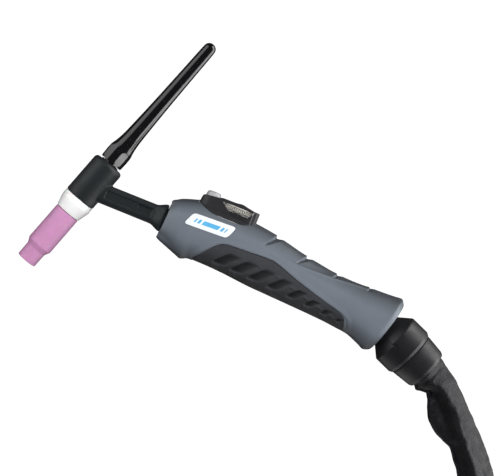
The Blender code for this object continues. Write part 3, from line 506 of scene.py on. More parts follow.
def pebbled_leather(name, colour):
    """Black grained leather: glazed pebbles with dark gaps between them, and pores."""
    look = Look(name, (0.52, 0.64), colour, 0.2, mottle_scale=60.0)
    wobble = look.node("ShaderNodeTexNoise", {"Vector": look.place, "Scale": 260.0, "Detail": 2.0})
    shift = {0: wobble.outputs["Color"], "Scale": 0.002}
    shift = look.node("ShaderNodeVectorMath", shift, operation="SCALE").outputs["Vector"]
    moved = look.node("ShaderNodeVectorMath", {0: look.place, 1: shift}, operation="ADD").outputs["Vector"]
    grain = {"Vector": moved, "Scale": 850.0, "Smoothness": 0.35}
    cells = look.node("ShaderNodeTexVoronoi", grain, feature="SMOOTH_F1")
    pebble = look.remap(cells.outputs["Distance"], 1.0, 0.0, source=(0.15, 0.75))
    look.paint(look.mix(pebble, scaled(colour, 0.45), look.painted()))
    # Painted shade in the sleeve's long fold.
    look.paint_shade_sunken(0.15)
    look.bump(pebble, 120)
    look.bump(look.noise(3200.0, 2.0), 20)
    look.set_inputs({"Specular IOR Level": 0.38})
    return look


def circuit_laminate(name, colour):
    """Green solder mask over copper tracks that run as a grid of soft-edged lines."""
    look = Look(name, (0.28, 0.42), colour, 0.1)
    tracks = {"Vector": look.place, "Scale": 260.0, "Mortar Size": 0.03}
    line = look.node("ShaderNodeTexBrick", tracks).outputs["Fac"]
    look.tint_scaled(line, 2.4)
    look.bump(line, 30)
    return look


MOULDED = {
    # slot: name, colour, roughness, grain height in microns, grain scale, colour spread
    "insulation": ("moulded_insulation", (0.010, 0.013, 0.0145), (0.5, 0.62), 30, 1100.0, 0.06),
    "grey_nylon": ("grey_nylon_grain", (0.140, 0.160, 0.188), (0.46, 0.58), 30, 1500.0, 0.04),
    "module_black": ("module_grain", (0.017, 0.017, 0.019), (0.42, 0.56), 30, 1500.0, 0.06),
    "button_grey": ("button_grain", (0.42, 0.42, 0.43), (0.34, 0.46), 20, 1600.0, 0.03),
    "wheel_grey": ("wheel_grain", (0.44, 0.42, 0.39), (0.42, 0.55), 30, 1500.0, 0.05),
    "knuckle_black": ("knuckle_grain", (0.008, 0.008, 0.0095), (0.42, 0.56), 30, 1000.0, 0.08),
    "badge": ("badge_film", (0.83, 0.87, 0.92), (0.22, 0.32), 10, 1800.0, 0.015),
    "badge_blue": ("badge_line", (0.10, 0.42, 0.72), (0.25, 0.35), 10, 1800.0, 0.04),
}
METALS = {
    # slot: name, colour, colour of the tarnish, roughness, axis of the lathe rings
    "brass": ("turned_brass", (0.72, 0.5, 0.22), (0.3, 0.18, 0.08), (0.24, 0.42), HEAD),
    "copper": ("drawn_copper", (0.75, 0.37, 0.23), (0.28, 0.12, 0.08), (0.24, 0.42), HEAD),
    "steel": ("plated_steel", (0.6, 0.6, 0.6), (0.35, 0.33, 0.3), (0.2, 0.36)),
    "tungsten": ("ground_tungsten", (0.42, 0.42, 0.43), (0.25, 0.25, 0.27), (0.3, 0.42), HEAD),
}


def make_materials():
    """Materials under the names of the record's slots, and badge_blue for the marks on the badge."""
    looks = {slot_name: moulded_plastic(*row) for slot_name, row in MOULDED.items()}
    looks.update({slot_name: worked_metal(*row) for slot_name, row in METALS.items()})
    looks["soft_grip"] = soft_rubber("grip_elastomer", (0.038, 0.039, 0.044), (0.6, 0.78))
    looks["rubber"] = soft_rubber("cable_rubber", (0.018, 0.018, 0.018), (0.55, 0.7))
    looks["gloss_black"] = gloss_phenolic("cap_phenolic", (0.0035, 0.0035, 0.0045))
    looks["ceramic"] = fired_ceramic("fired_alumina", (0.57, 0.262, 0.475))
    looks["white_ptfe"] = turned_plastic("turned_ptfe", (0.97, 0.97, 0.97), HEAD)
    looks["acetal"] = turned_plastic("turned_acetal", (0.72, 0.71, 0.67), SOCKET)
    looks["board"] = circuit_laminate("board_laminate", (0.015, 0.13, 0.055))
    looks["leather"] = pebbled_leather("pebbled_leather", (0.0078, 0.0078, 0.0102))
    # Painted shade on the handle shells where they turn under or over.
    looks["grey_nylon"].paint_shade_turned()
    looks["grey_nylon"].wear_edges()
    # Painted shade on the grip where it turns under or over.
    looks["soft_grip"].paint_shade_turned()
    # Painted shade in the grip's gills.
    looks["soft_grip"].paint_shade_sunken(0.22)
    # Painted shade in the grooves between the wheel's ribs.
    looks["wheel_grey"].paint_shade_sunken(0.12)
    return {slot_name: look.material for slot_name, look in looks.items()}


MATERIALS = make_materials()


# --- Head, neck and the parts on the head axis

NECK_ROWS = (
    # x, half width, half height, squareness
    (-132.0, 7.4, 7.7, 4.2),
    (-86.0, 7.5, 7.8, 4.2),
    (-84.4, 7.7, 8.0, 4.0),
    (-79.6, 10.0, 10.1, 3.0),
    (-78.4, 10.6, 10.6, 2.8),
    (-76.4, 11.1, 10.9, 2.7),
)
NECK_PANEL = ((-124.0, -85.8), (-3.1, 3.7))
NECK_PANEL_DEPTH = 0.8
NECK_WELL_DEPTH = 1.4
NECK_WELL_MARGIN = 0.8
NECK_SIDE = 7.5
NECK_PAD_END = -98.0
HEAD_RADIUS = 12.55
HEAD_BORE_OVERRUN = 5.0
HEAD_TO_SHIELD = 0.4
CAP_FLATS = 10
CAP_FLAT_REACH = 9.05


def make_head():
    """Moulded head and neck, melted together so that they meet in a fillet, then bored out."""
    bottom, top = head_ends()
    shoulder = rounded([(HEAD_RADIUS, top - 8.0), (HEAD_RADIUS, top), (2.0, top)], 3.4, 10, loop=False)
    base = rounded([(2.0, bottom), (HEAD_RADIUS, bottom), (HEAD_RADIUS, top - 8.0)], 0.5, loop=False)
    head = turned_about("torch_head_skin", HEAD, np.vstack([base[:-1], shoulder]), 112, loop=False)
    combine(head, [skin("neck_blank", neck_rings())], "UNION")
    combine(head, [neck_panel(side) for side, _ in SIDES])
    soften(head, 0.42, 4)
    combine(head, [neck_bar("spigot", 7.8, -78.0, -61.0, 32)], "UNION")
    core_radius = HEAD.stations("head_core")[2] + SEAM
    bore = bottom - HEAD_BORE_OVERRUN, top + HEAD_BORE_OVERRUN
    low, high = node_box("neck_tube")
    tube_radius = (high[1] - low[1]) / 2.0 + SEAM
    tools = [rod("core_bore", HEAD, core_radius, *bore, 64)]
    tools.append(neck_bar("tube_bore", tube_radius, HEAD.origin[0], -50.0, 32))
    combine(head, tools)
    finish_piece(head, "handle", "insulation", "torch_head", sharp=40.0)


def head_ends():
    """Stations of the head's two end faces, from the parts that sit against them."""
    shield_top = HEAD.stations("heat_shield")[1]
    ring_middle = np.mean(HEAD.stations("back_cap_o_ring")[:2])
    return shield_top + HEAD_TO_SHIELD, ring_middle


def neck_bar(name, radius, start, end, steps):
    """A round bar along the neck's axis, between two x."""
    angles = steps_round(steps)
    across = [radius * np.cos(angles), radius * np.sin(angles)]
    return skin(name, [np.stack([np.full(steps, x), *across], axis=1) for x in (start, end)])


def neck_rings():
    angles = steps_round(72)
    rings = []
    for x in np.arange(NECK_ROWS[0][0], NECK_ROWS[-1][0] + 0.01, 0.5):
        half_width, half_height, power = table_at(NECK_ROWS, x)
        y = half_width * signed_power(np.cos(angles), 2.0 / power)
        z = half_height * signed_power(np.sin(angles), 2.0 / power)
        rings.append(np.stack([np.full(len(angles), x), y, z], axis=1))
    return rings


def neck_panel(side):
    """Long shallow recess let into the flat side of the neck, deeper past the plain pad at its front."""
    (start, end), (low, high) = NECK_PANEL
    levels = on_side(side, NECK_SIDE - NECK_PANEL_DEPTH, 12.0)
    recess = prism("neck_panel", rounded(rectangle(start, low, end, high), 1.2), *levels)
    margin = NECK_WELL_MARGIN
    well = rectangle(NECK_PAD_END, low + margin, end - 0.6, high - margin)
    levels = on_side(side, NECK_SIDE - NECK_WELL_DEPTH, 12.0)
    return combine(recess, [prism("neck_well", rounded(well, 0.9), *levels)], "UNION")


def make_nozzle():
    mouth, top, radius = HEAD.stations("nozzle")
    shoulder, neck, tip_radius = mouth + 15.6, mouth + 11.4, radius - 2.05
    outer = [(radius - 0.1, top), (radius, shoulder), (tip_radius, neck), (tip_radius - 0.15, mouth)]
    inner = [(5.5, mouth), (5.5, mouth + 15.4), (6.7, mouth + 30.0), (6.7, top)]
    profile = rounded(outer + inner, 0.7, 5)
    nozzle = turned_about("ceramic_nozzle", HEAD, profile, 128, shape=fired_wobble)
    finish_piece(nozzle, "cup", "ceramic", "nozzle")


def fired_wobble(radius, angle, station):
    """The slight unevenness that firing leaves on a ceramic."""
    wave = 0.03 * np.sin(3.0 * angle + 0.11 * station) + 0.02 * np.sin(5.0 * angle - 0.3 * station)
    return radius + wave, angle, station


def make_heat_shield():
    front, top, radius = HEAD.stations("heat_shield")
    nozzle_radius = HEAD.stations("nozzle")[2]
    outer = [(radius, top), (radius, top - 4.6), (nozzle_radius + 0.2, front)]
    profile = rounded([*outer, (6.7, front), (6.7, top)], 0.35, 3)
    ring = turned_about("ptfe_heat_shield", HEAD, profile, 128)
    finish_piece(ring, "shield", "white_ptfe", "heat_shield")


CAP_BODY = (
    # radius, height over the flange
    (9.0, 0.0),
    (9.5, 0.8),
    (10.1, 4.5),
    (10.3, 7.5),
    (9.3, 12.0),
    (8.25, 16.0),
    (7.55, 20.5),
    (7.05, 26.0),
    (6.75, 33.0),
    (5.95, 58.0),
    (5.35, 90.0),
)
CAP_TIP_RADIUS = 4.85
CAP_TIP_HEIGHT = 4.6


def make_back_cap():
    """Round tapered cap with ten flats ground on its base, a neck below them and a threaded stem."""
    stem_end, top, _ = HEAD.stations("back_cap")
    flange = HEAD.stations("back_cap_o_ring")[1] + 0.5
    shoulder = top - CAP_TIP_HEIGHT
    body = [(radius, flange + height) for radius, height in CAP_BODY]
    body = smooth_profile([*body, (5.0, top - 7.0), (CAP_TIP_RADIUS, shoulder)], 90)
    turns = np.linspace(0.1, 1.5, 14)
    tip = np.column_stack([CAP_TIP_RADIUS * np.cos(turns), shoulder + CAP_TIP_HEIGHT * np.sin(turns)])
    cap = turned_about("gloss_back_cap", HEAD, np.vstack([body, tip]), 160, loop=False, shape=cap_flats)
    stem = [(1.8, stem_end), (4.7, stem_end), (4.7, 22.5), (5.3, 22.8), (5.3, flange + 2.0)]
    stem = rounded([*stem, (1.8, flange + 2.0)], 0.2, 2, loop=False)
    combine(cap, [turned_about("cap_stem", HEAD, stem, 64, loop=False)], "UNION")
    combine(cap, [rod("cap_bore", HEAD, 1.7, stem_end - 5.0, 92.0, 32)])
    finish_piece(cap, "cap", "gloss_black", "back_cap", sharp=14.0)


def smooth_profile(profile, count):
    """The same profile as a smooth curve through its points, cut into count stations."""
    profile = np.array(profile)
    stations = np.linspace(profile[0, 1], profile[-1, 1], count)
    return np.stack([curve_through(profile[:, 1], profile[:, 0], stations), stations], axis=1)


def cap_flats(radius, angle, station):
    """Cuts the flats: each is a plane, so it runs out in an arc where the cap gets thinner."""
    pitch = math.tau / CAP_FLATS
    off = (angle + math.pi / 2.0 + pitch / 2.0) % pitch - pitch / 2.0
    reach = CAP_FLAT_REACH - 0.035 * np.abs(station - 33.0)
    return np.minimum(radius, reach / np.cos(off)), angle, station


def make_small_turned_parts():
    """Seal, tungsten and collet: round parts on the head axis, remade smooth."""
    low, high, outer = HEAD.stations("back_cap_o_ring")
    turns = steps_round(20)
    ring = np.column_stack([outer - 1.0 + np.cos(turns), (low + high) / 2.0 - np.sin(turns)])
    finish_piece(turned_about("cap_seal_ring", HEAD, ring, 80), "cap_seal", "rubber", "back_cap_o_ring")

    tip, end, radius = HEAD.stations("electrode")
    profile = [(0.12, tip), (radius, tip + 5.0), (radius, end - 0.2), (radius - 0.2, end)]
    electrode = turned_about("tungsten_electrode", HEAD, profile, 32, loop=False)
    finish_piece(electrode, "tungsten", "tungsten", "electrode")

    low, high, outer = HEAD.stations("collet")
    sleeve = rounded([(outer, high), (outer, low), (1.5, low), (1.5, high)], 0.15, 2)
    collet = turned_about("split_collet", HEAD, sleeve, 40)
    slot = prism("collet_slot", rectangle(-0.2, -6.0, 0.2, 6.0), low - 1.0, low + 22.0, "XY")
    for vertex, (across, deep, along) in zip(slot.data.vertices, points_of(slot)):
        place = HEAD.origin + across * HEAD.across + along * HEAD.along
        vertex.co = (place + (0.0, deep, 0.0)) * MM
    combine(collet, [slot])
    finish_piece(collet, "handle", "copper", "collet")


# --- Handle shells, soft grip and badges

HANDLE_ROWS = (
    # x, top, bottom, half width
    (-76.2, 15.0, -15.2, 13.6),
    (-75.9, 15.5, -15.7, 14.2),
    (-73.5, 16.9, -16.9, 15.2),
    (-70.0, 18.9, -18.3, 16.0),
    (-64.0, 21.0, -20.6, 16.9),
    (-57.0, 23.1, -23.1, 17.4),
    (-54.5, 23.7, -23.9, 17.5),
    (-52.5, 23.9, -23.3, 17.5),
    (-49.5, 24.0, -21.9, 17.5),
    (-44.0, 24.0, -21.1, 17.3),
    (-35.0, 23.8, -21.2, 17.1),
    (-20.0, 23.2, -22.0, 16.9),
    (-9.0, 22.4, -23.0, 16.8),
    (2.0, 21.0, -24.0, 16.5),
    (15.0, 18.4, -24.6, 16.1),
    (33.0, 14.7, -25.4, 15.8),
    (48.0, 12.4, -26.1, 15.9),
    (62.0, 10.8, -26.9, 16.3),
    (75.0, 10.2, -28.0, 17.3),
    (88.0, 9.9, -29.3, 18.8),
    (100.0, 10.3, -32.3, 20.5),
    (106.0, 10.7, -34.2, 21.3),
    (110.3, 11.1, -35.6, 22.0),
    (110.9, 10.9, -35.5, 21.85),
    (114.1, 7.7, -34.2, 20.1),
    (114.5, 7.2, -33.7, 19.6),
)
SECTION_POWER = 2.25
REAR_LEAN = 0.289
LEAN_START, LEAN_END = 60.0, 114.5
FRONT_LEAN = 0.045
WALL = 4.4
HANDLE_AXIS_Z = -4.0
# Levels well past the handle's outside, where the cutting tools end.
FAR_UP, FAR_SIDE = 40.0, 30.0
SHANK_HOLE_RADIUS, SHANK_HOLE_END = 1.8, -8.3
SCREW_HEAD_RADIUS, SCREW_HEAD_HEIGHT = 2.7, 1.8

# Raised scales on the upper flanks: foot (x, z) and head (x, z) of each scale's rear
# edge, how deep the wedge behind it is and how far it reaches.
SCALES = (
    ((0.4, 9.2), (7.6, 19.2), 2.1, 5.4),
    ((28.0, 5.8), (34.8, 14.2), 1.8, 4.6),
    ((57.2, 5.2), (61.2, 11.2), 1.2, 4.2),
    ((85.6, 6.0), (87.8, 10.4), 0.8, 3.0),
)
RIDGE_LINE = ((12.0, 7.0), (30.0, 5.3), (57.0, 5.9), (70.0, 7.0), (88.0, 8.4))

GRIP_EDGE = (
    (-45.0, -19.2),
    (-40.0, -13.6),
    (-36.0, -8.8),
    (-32.0, -4.3),
    (-28.0, -1.5),
    (-23.0, -0.3),
    (-10.0, 0.4),
    (5.0, 1.2),
    (11.0, 1.3),
    (17.0, 0.0),
    (30.0, -4.4),
    (45.0, -9.0),
    (60.0, -13.0),
    (74.0, -16.4),
    (79.0, -19.4),
    (82.0, -25.0),
)
GRIP_THICKNESS = 2.5


def lean(x):
    """How far a section leans along x for each millimetre of height."""
    front = FRONT_LEAN * (1.0 - smoothstep((x + 76.0) / 14.0))
    return front + REAR_LEAN * smoothstep((x - LEAN_START) / (LEAN_END - LEAN_START))


def handle_surface(x, angle, inset=0.0, side=LEFT):
    """Points of the handle's surface: x and angle broadcast, angle from the side up to the top."""
    x, angle = np.broadcast_arrays(np.asarray(x, float), np.asarray(angle, float))
    top, bottom, half_width = table_at(HANDLE_ROWS, x)
    power = 2.0 / SECTION_POWER
    z = (top + bottom) / 2.0 + ((top - bottom) / 2.0 - inset) * signed_power(np.sin(angle), power)
    y = side * (half_width - inset) * signed_power(np.cos(angle), power)
    return np.stack([x + lean(x) * z, y, z], axis=-1)


def angle_at(x, z, inset=0.0):
    """The surface's angle at a height, where the section doesn't lean."""
    top, bottom, _ = table_at(HANDLE_ROWS, x)
    share = np.clip((z - (top + bottom) / 2.0) / ((top - bottom) / 2.0 - inset), -0.9995, 0.9995)
    return np.arcsin(signed_power(share, SECTION_POWER / 2.0))


def side_y(x, z, inset=0.0):
    """Distance of the handle's side from the middle plane at (x, z), where the section doesn't lean."""
    return handle_surface(x, angle_at(x, z, inset), inset, RIGHT)[..., 1]


def outward(points):
    """Unit normals of a grid of points, pointing away from the handle's axis."""
    normal = unit(np.cross(np.gradient(points, axis=1), np.gradient(points, axis=0)))
    away = points[..., 1:] - np.array([0.0, HANDLE_AXIS_Z])
    return normal * np.sign(np.sum(normal[..., 1:] * away, axis=-1, keepdims=True))


def scale_relief(x, z):
    """Each scale swells towards its rear edge, drops off there, and leaves a wedge that rises again."""
    relief = np.zeros(np.shape(x))
    for (foot_x, foot_z), (head_x, head_z), depth, reach in SCALES:
        share = (z - foot_z) / (head_z - foot_z)
        past = x - (foot_x + (head_x - foot_x) * share)
        rise = smoothstep(share * 2.4)
        width = 0.9 + reach * np.clip(share, 0.0, 1.2)
        wedge = smoothstep(past / 0.7) * np.clip(1.0 - (past - 0.7) / width, 0.0, 1.0)
        swell = np.exp(np.minimum(past, 0.0) / 7.0) * (1.0 - smoothstep((past + 0.3) / 0.8))
        relief += rise * (0.34 * swell - depth * wedge)
    return relief


def ridge_relief(x, z):
    """A soft ridge along the flank, with the surface above it turned in towards the top."""
    above = z - table_at(RIDGE_LINE, x)[0]
    present = smoothstep((x - 16.0) / 20.0) * (1.0 - smoothstep((x - 84.0) / 6.0))
    turned_in = -0.24 * np.clip(above - 0.3, 0.0, 2.6) * (0.5 + 0.5 * smoothstep((x - 44.0) / 16.0))
    return present * (0.34 * bell(above / 0.8) + 1.3 * turned_in)


def nose_relief(x, z, sideways):
    """The sides of the handle's front are bevelled back from a slanting line."""
    line = -67.0 + 0.22 * (12.0 - z)
    return -0.17 * np.clip(line - x, 0.0, 10.0) * smoothstep((sideways - 0.35) / 0.4)


def border_relief(x, z):
    """A raised band runs round the soft grip, rounded over at the grip's edge."""
    distance = distance_to_line(x, z, GRIP_EDGE)
    band = 1.0 - smoothstep((distance - 0.8) / 4.0)
    return 0.5 * band - 0.45 * bell(distance / 0.55)


def shell_relief(points):
    x, z = points[..., 0], points[..., 2]
    sideways = np.abs(points[..., 1]) / np.abs(points[..., 1]).max(axis=1, keepdims=True)
    return scale_relief(x, z) + ridge_relief(x, z) + nose_relief(x, z, sideways) + border_relief(x, z)


def handle_stations(start, end, step=0.6):
    rows = [row[0] for row in HANDLE_ROWS if start < row[0] < end]
    return np.unique(np.round(np.concatenate([np.arange(start, end, step), [end], rows]), 3))


def shell_blank(side, name):
    """Solid half of the handle with its relief, flat half a seam from the parting plane."""
    stations = handle_stations(HANDLE_ROWS[0][0], HANDLE_ROWS[-1][0])
    angles = np.linspace(math.pi / 2.0, -math.pi / 2.0, 150)
    points = handle_surface(stations[:, None], angles[None, :], 0.0, side)
    seam_dip = 0.3 * bell((np.pi / 2.0 - np.abs(angles)) / 0.02)
    points = points + outward(points) * (shell_relief(points) - seam_dip)[..., None]
    points[..., 1] = side * np.maximum(side * points[..., 1], SEAM / 2.0)
    return skin(f"{name}_handle_shell_skin", points)


def cavity_rings():
    angles = steps_round(40)
    return [handle_surface(x, angles, WALL) for x in handle_stations(-72.0, 82.0, 3.0)]


def socket_tool():
    """Cable way, seat bore and flared mouth of the ball socket."""
    front, rear, radius = SOCKET.stations("ball_seat_ring")
    reach, seat = (rear - front) / 2.0 + SEAM, radius + SEAM
    profile = [(10.0, -20.0), (10.0, -11.0), (12.1, -reach), (seat, -reach), (seat, reach), (12.6, reach)]
    return turned_about("socket_tool", SOCKET, [*profile, (29.6, 24.0)], 96, loop=False)


def module_tool():
    edge = [(x, z - SEAM) for x, z in module_edge(60)]
    outline = [*edge, (edge[-1][0] + SEAM, FAR_UP), (edge[0][0] - SEAM, FAR_UP)]
    return prism("module_room", outline, -FAR_SIDE, FAR_SIDE)


def board_tool():
    low, high = node_box("circuit_board")
    low, high = low - SEAM, high + SEAM
    outline = rectangle(low[0], low[1], high[0], high[1])
    return prism("board_room", outline, high[2] - 6.6, high[2], "XY")


def button_tool():
    """Stepped well for the push button, and the room for the switch under it."""
    centre, radius, bottom, _ = upright_part("trigger_button")
    flange = radius + SEAM
    stem, stop = flange - BUTTON_LEDGE, bottom + BUTTON_FLANGE_HEIGHT + SEAM
    profile = [(flange, 10.0), (flange, stop), (stem, stop), (stem, FAR_UP)]
    return turned_about("button_well", UPRIGHT, profile, 64, loop=False, centre=centre)


def screw_places():
    """(x, z, seat) for each screw: its axis, and how far out its head sits."""
    places = []
    for index in range(1, 5):
        low, high = node_box(f"handle_screw_{index}")
        places.append(((low[0] + high[0]) / 2.0, (low[2] + high[2]) / 2.0, high[1]))
    return places


def rod_across(name, x, z, radius, start, end):
    """A round bar across the handle, for screw holes and bosses."""
    angles = steps_round(28)
    outline = np.column_stack([x + radius * np.cos(angles), z + radius * np.sin(angles)])
    return prism(name, outline, start, end)


def screw_tools(side):
    """Shank holes through both shells, and counterbores for the heads in the right one."""
    tools = []
    for x, z, head in screw_places():
        tools.append(rod_across("shank_hole", x, z, SHANK_HOLE_RADIUS, SHANK_HOLE_END, head))
        if side == RIGHT:
            bore = head - SCREW_HEAD_HEIGHT - SEAM, FAR_UP
            tools.append(rod_across("head_hole", x, z, SCREW_HEAD_RADIUS + SEAM, *bore))
    return tools


def boss_tools(side):
    bosses = []
    for x, z, _ in screw_places()[:3]:
        wall = float(side_y(x, z, WALL)) + 1.0
        bosses.append(rod_across("boss", x, z, 3.3, *on_side(side, SEAM, wall)))
    return bosses


def grip_rings(side, outer, inner, margin, relief=None, steps=84):
    """The grip's strip at each station: down its outside from its upper edge, and back up its inside.

    With a margin it is the tool for the grip's recess, which reaches past the parting plane.
    """
    edge = np.array(GRIP_EDGE)
    stations = np.unique(np.concatenate([np.arange(edge[0, 0], edge[-1, 0], 0.55), edge[:, 0]]))
    heights = table_at(GRIP_EDGE, stations)[0] + margin

    def strip(inset, shares):
        start = angle_at(stations, heights, inset)[:, None]
        angles = start + (-math.pi / 2.0 - start) * shares
        return handle_surface(stations[:, None], angles, inset, side)

    outside = strip(outer, np.linspace(0.0, 1.0, steps))
    if relief is not None:
        outside = outside + outward(outside) * relief(outside)[..., None]
    rings = np.concatenate([outside, strip(inner, np.linspace(1.0, 0.0, 12))], axis=1)
    if margin:
        rings[0, :, 0] -= margin
        rings[-1, :, 0] += margin
        rings[..., 1] = np.where(side * rings[..., 1] < 0.05, -side, rings[..., 1])
    else:
        rings[..., 1] = side * np.maximum(side * rings[..., 1], SEAM / 2.0)
    return rings


def make_handle_shells():
    for side, name in SIDES:
        shell = shell_blank(side, name)
        combine(shell, [skin("cavity", cavity_rings())])
        combine(shell, boss_tools(side), "UNION")
        tools = [socket_tool(), module_tool(), board_tool(), button_tool()]
        tools.append(neck_bar("front_hole", 8.1, -80.0, -71.0, 48))
        tools.append(skin("grip_recess", grip_rings(side, -1.5, GRIP_THICKNESS + SEAM, 0.22, steps=40)))
        tools.append(badge_plate("badge_recess", side, badge_outline(0.25), -0.9, 2.5))
        combine(shell, tools + screw_tools(side))
        finish_piece(shell, "handle", "grey_nylon", f"{name}_handle_shell", sharp=30.0)


# The grip's relief: slanting gills that deepen towards the underside, then short bars below them.
# Each gill is (x, z) of its upper end and its width along the grip.
GILLS = (
    (-15.0, -6.4, 12.0),
    (-0.4, -6.8, 12.0),
    (14.2, -7.2, 12.0),
    (28.6, -9.0, 11.4),
    (41.5, -12.8, 9.6),
    (53.2, -16.2, 8.2),
    (64.6, -19.2, 7.0),
    (75.0, -22.0, 5.4),
)
GILL_SLOPE = 1.0
GILL_DEPTH = 2.0
GILL_FLOOR = ((-46.0, -16.2), (-20.0, -17.0), (10.0, -18.4), (45.0, -20.6), (82.0, -24.4))
BAR_PITCH = 1.25


def gill_floor(x):
    return table_at(GILL_FLOOR, x)[0]


def gill_depth(x, z):
    """How deep each gill is, from 0 to 1: a crisp front wall, a floor that rises to the rear and top."""
    depth = np.zeros(np.shape(x))
    floor = gill_floor(x)
    for top_x, top_z, width in GILLS:
        front = x - (top_x - width * 0.5 + (z - top_z) * GILL_SLOPE)
        along = front / width
        down = np.clip((top_z + 1.5 - z) / (top_z - floor), 0.0, 1.0)
        slope = np.clip(1.3 - along, 0.0, 1.0) * (1.0 - smoothstep((along - 0.72) / 0.3))
        depth = np.maximum(depth, smoothstep(front / 1.1) * slope * smoothstep(down * 2.4))
    return depth * smoothstep((z - floor) / 0.9)


def grip_relief(points):
    x, z = points[..., 0], points[..., 2]
    relief = -0.55 * bell(distance_to_line(x, z, GRIP_EDGE) / 0.7)
    relief = relief - GILL_DEPTH * gill_depth(x, z)
    floor = gill_floor(x)
    for top_x, top_z, width in GILLS:
        crest_x, crest_z = top_x - width * 0.5 - 3.8, top_z + 0.4
        off = z - crest_z + 0.18 * (x - crest_x)
        raised = 0.5 * smoothstep((top_x + 20.0) / 60.0)
        relief += raised * bell((x - crest_x) / 2.6) * bell(off / 0.9)
        foot = top_x - width * 0.5 - (top_z - floor) * GILL_SLOPE
        relief += 0.45 * short_bars(x, z, foot + 3.6, floor)
    return relief + 0.12 * smoothstep((floor - z) / 1.2)


def short_bars(x, z, middle, floor):
    """Three short bars, one below another, centred on middle and just under the floor line."""
    bars = np.zeros(np.shape(x))
    for row in range(3):
        height = floor - 0.8 - row * BAR_PITCH
        bars += bell((z - height) / 0.42)
    return bars * (1.0 - smoothstep((np.abs(x - middle) - 2.8) / 0.7))


def make_grips():
    for side, name in SIDES:
        grip = skin(f"{name}_grip_skin_soft", grip_rings(side, 0.0, GRIP_THICKNESS, 0.0, grip_relief))
        points = points_of(grip)
        # The gills' depth, for the painted shade in the grip's material.
        mark_sunken(grip, gill_depth(points[:, 0], points[:, 2]))
        finish_piece(grip, "handle", "soft_grip", f"{name}_grip_skin", sharp=40.0)


BADGE_MIDDLE = (-41.5, 8.2)
BADGE_LENGTH = 34.0
BADGE_HEIGHT = 10.2
BADGE_SLOPE = 0.042
BADGE_RAKE = 0.42
BADGE_MARKS = ((0.6, 13.0), (-8.4, 2.0), (-11.4, 1.2), (9.6, 2.0), (12.4, 1.0))
BADGE_MARK_HEIGHT = 3.4


def raked_outline(length, height, radius, shift=0.0):
    """A parallelogram with rounded corners, raked and sloped as the badge is, shift along its middle line."""
    corners = []
    for across, up in ((-0.5, -0.5), (0.5, -0.5), (0.5, 0.5), (-0.5, 0.5)):
        along, rise = across * length + shift, up * height
        corners.append((along + rise * BADGE_RAKE, rise + along * BADGE_SLOPE))
    return rounded(corners, radius, 8)


def badge_outline(margin):
    return raked_outline(BADGE_LENGTH + 2 * margin, BADGE_HEIGHT + 2 * margin, 2.9)


def badge_plate(name, side, outline, outer, inner):
    """A plate that follows the handle's side between two insets; a negative inset stands proud of it."""
    centre = outline.mean(axis=0)
    rings = [(1.0, inner), (1.0, outer + 0.12), (0.994, outer + 0.03), (0.984, outer)]
    rings += [(share, outer) for share in (0.93, 0.85, 0.75, 0.62, 0.5, 0.36, 0.22, 0.08)]
    made = []
    for share, inset in rings:
        flat = centre + (outline - centre) * share
        x, z = BADGE_MIDDLE[0] + flat[:, 0], BADGE_MIDDLE[1] + flat[:, 1]
        made.append(np.stack([x, side * (side_y(x, z) - inset), z], axis=1))
    return skin(name, made)


def make_badges():
    """White badge film with a plain blue band between short slanting bars, which say nothing."""
    for side, name in SIDES:
        plate = badge_plate(f"{name}_badge_plate", side, badge_outline(0.0), -0.35, 0.6)
        finish_piece(plate, "handle", "badge", f"{name}_badge")
        bars = []
        for shift, length in BADGE_MARKS:
            outline = raked_outline(length, BADGE_MARK_HEIGHT, 0.5, shift)
            bars.append(badge_plate("badge_bar", side, outline, -0.43, 0.2))
        band = join(bars[0], bars[1:])
        band.name = f"{name}_badge_marks"
        finish_piece(band, "handle", "badge", look="badge_blue")


def make_screws():
    """Countersunk steel screws with cross recesses, let into the right shell."""
    for index, (x, z, head) in enumerate(screw_places(), start=1):
        tip = node_box(f"handle_screw_{index}")[0][1]
        neck = head - SCREW_HEAD_HEIGHT
        shank = [(0.7, tip), (1.5, tip + 1.0), (1.5, neck)]
        rim = [(SCREW_HEAD_RADIUS, neck), (SCREW_HEAD_RADIUS, head - 0.25), (2.45, head)]
        screw = turned_about(f"cross_screw_{index}", UPRIGHT, shank + rim, 40, loop=False)
        for wide, high in ((1.45, 0.32), (0.32, 1.45)):
            bar = rounded(rectangle(-wide, -high, wide, high), 0.15, 2)
            combine(screw, [prism("cross", bar, head - 1.1, head + 1.0, "XY")])
        for vertex, (across, up, out) in zip(screw.data.vertices, points_of(screw)):
            vertex.co = ((x + across) * MM, out * MM, (z - up) * MM)
        finish_piece(screw, "handle", "steel", f"handle_screw_{index}")


# --- Trigger module, push button and thumbwheel

SADDLE_EDGE = (
    (-57.0, 22.6),
    (-53.0, 20.9),
    (-48.0, 18.6),
    (-43.0, 17.4),
    (-36.0, 17.0),
    (-28.0, 17.0),
    (-20.0, 17.5),
    (-15.0, 19.3),
    (-10.0, 21.8),
)
BLOCK_ROWS = (
    # x, half width, top
    (-56.0, 4.4, 25.5),
    (-55.6, 5.8, 27.3),
    (-54.6, 7.4, 28.5),
    (-52.6, 8.9, 29.0),
    (-50.0, 9.9, 29.3),
    (-46.5, 10.3, 29.7),
    (-42.8, 10.4, 30.2),
    (-40.2, 10.4, 31.0),
    (-30.0, 10.4, 31.2),
    (-25.0, 10.4, 31.8),
    (-20.0, 10.4, 31.0),
    (-15.2, 10.2, 30.2),
    (-14.4, 9.5, 30.1),
    (-12.0, 8.4, 30.1),
    (-10.7, 6.2, 30.0),
    (-10.2, 4.6, 29.4),
)
WINDOW = ((-39.6, 29.0), (-14.5, 29.0), (-14.7, 28.1), (-17.4, 23.7), (-34.0, 23.7), (-39.4, 28.1))
SCALLOP = ((-33.6, 24.2), (-17.3, 24.2), (-18.6, 20.6), (-30.0, 20.6))
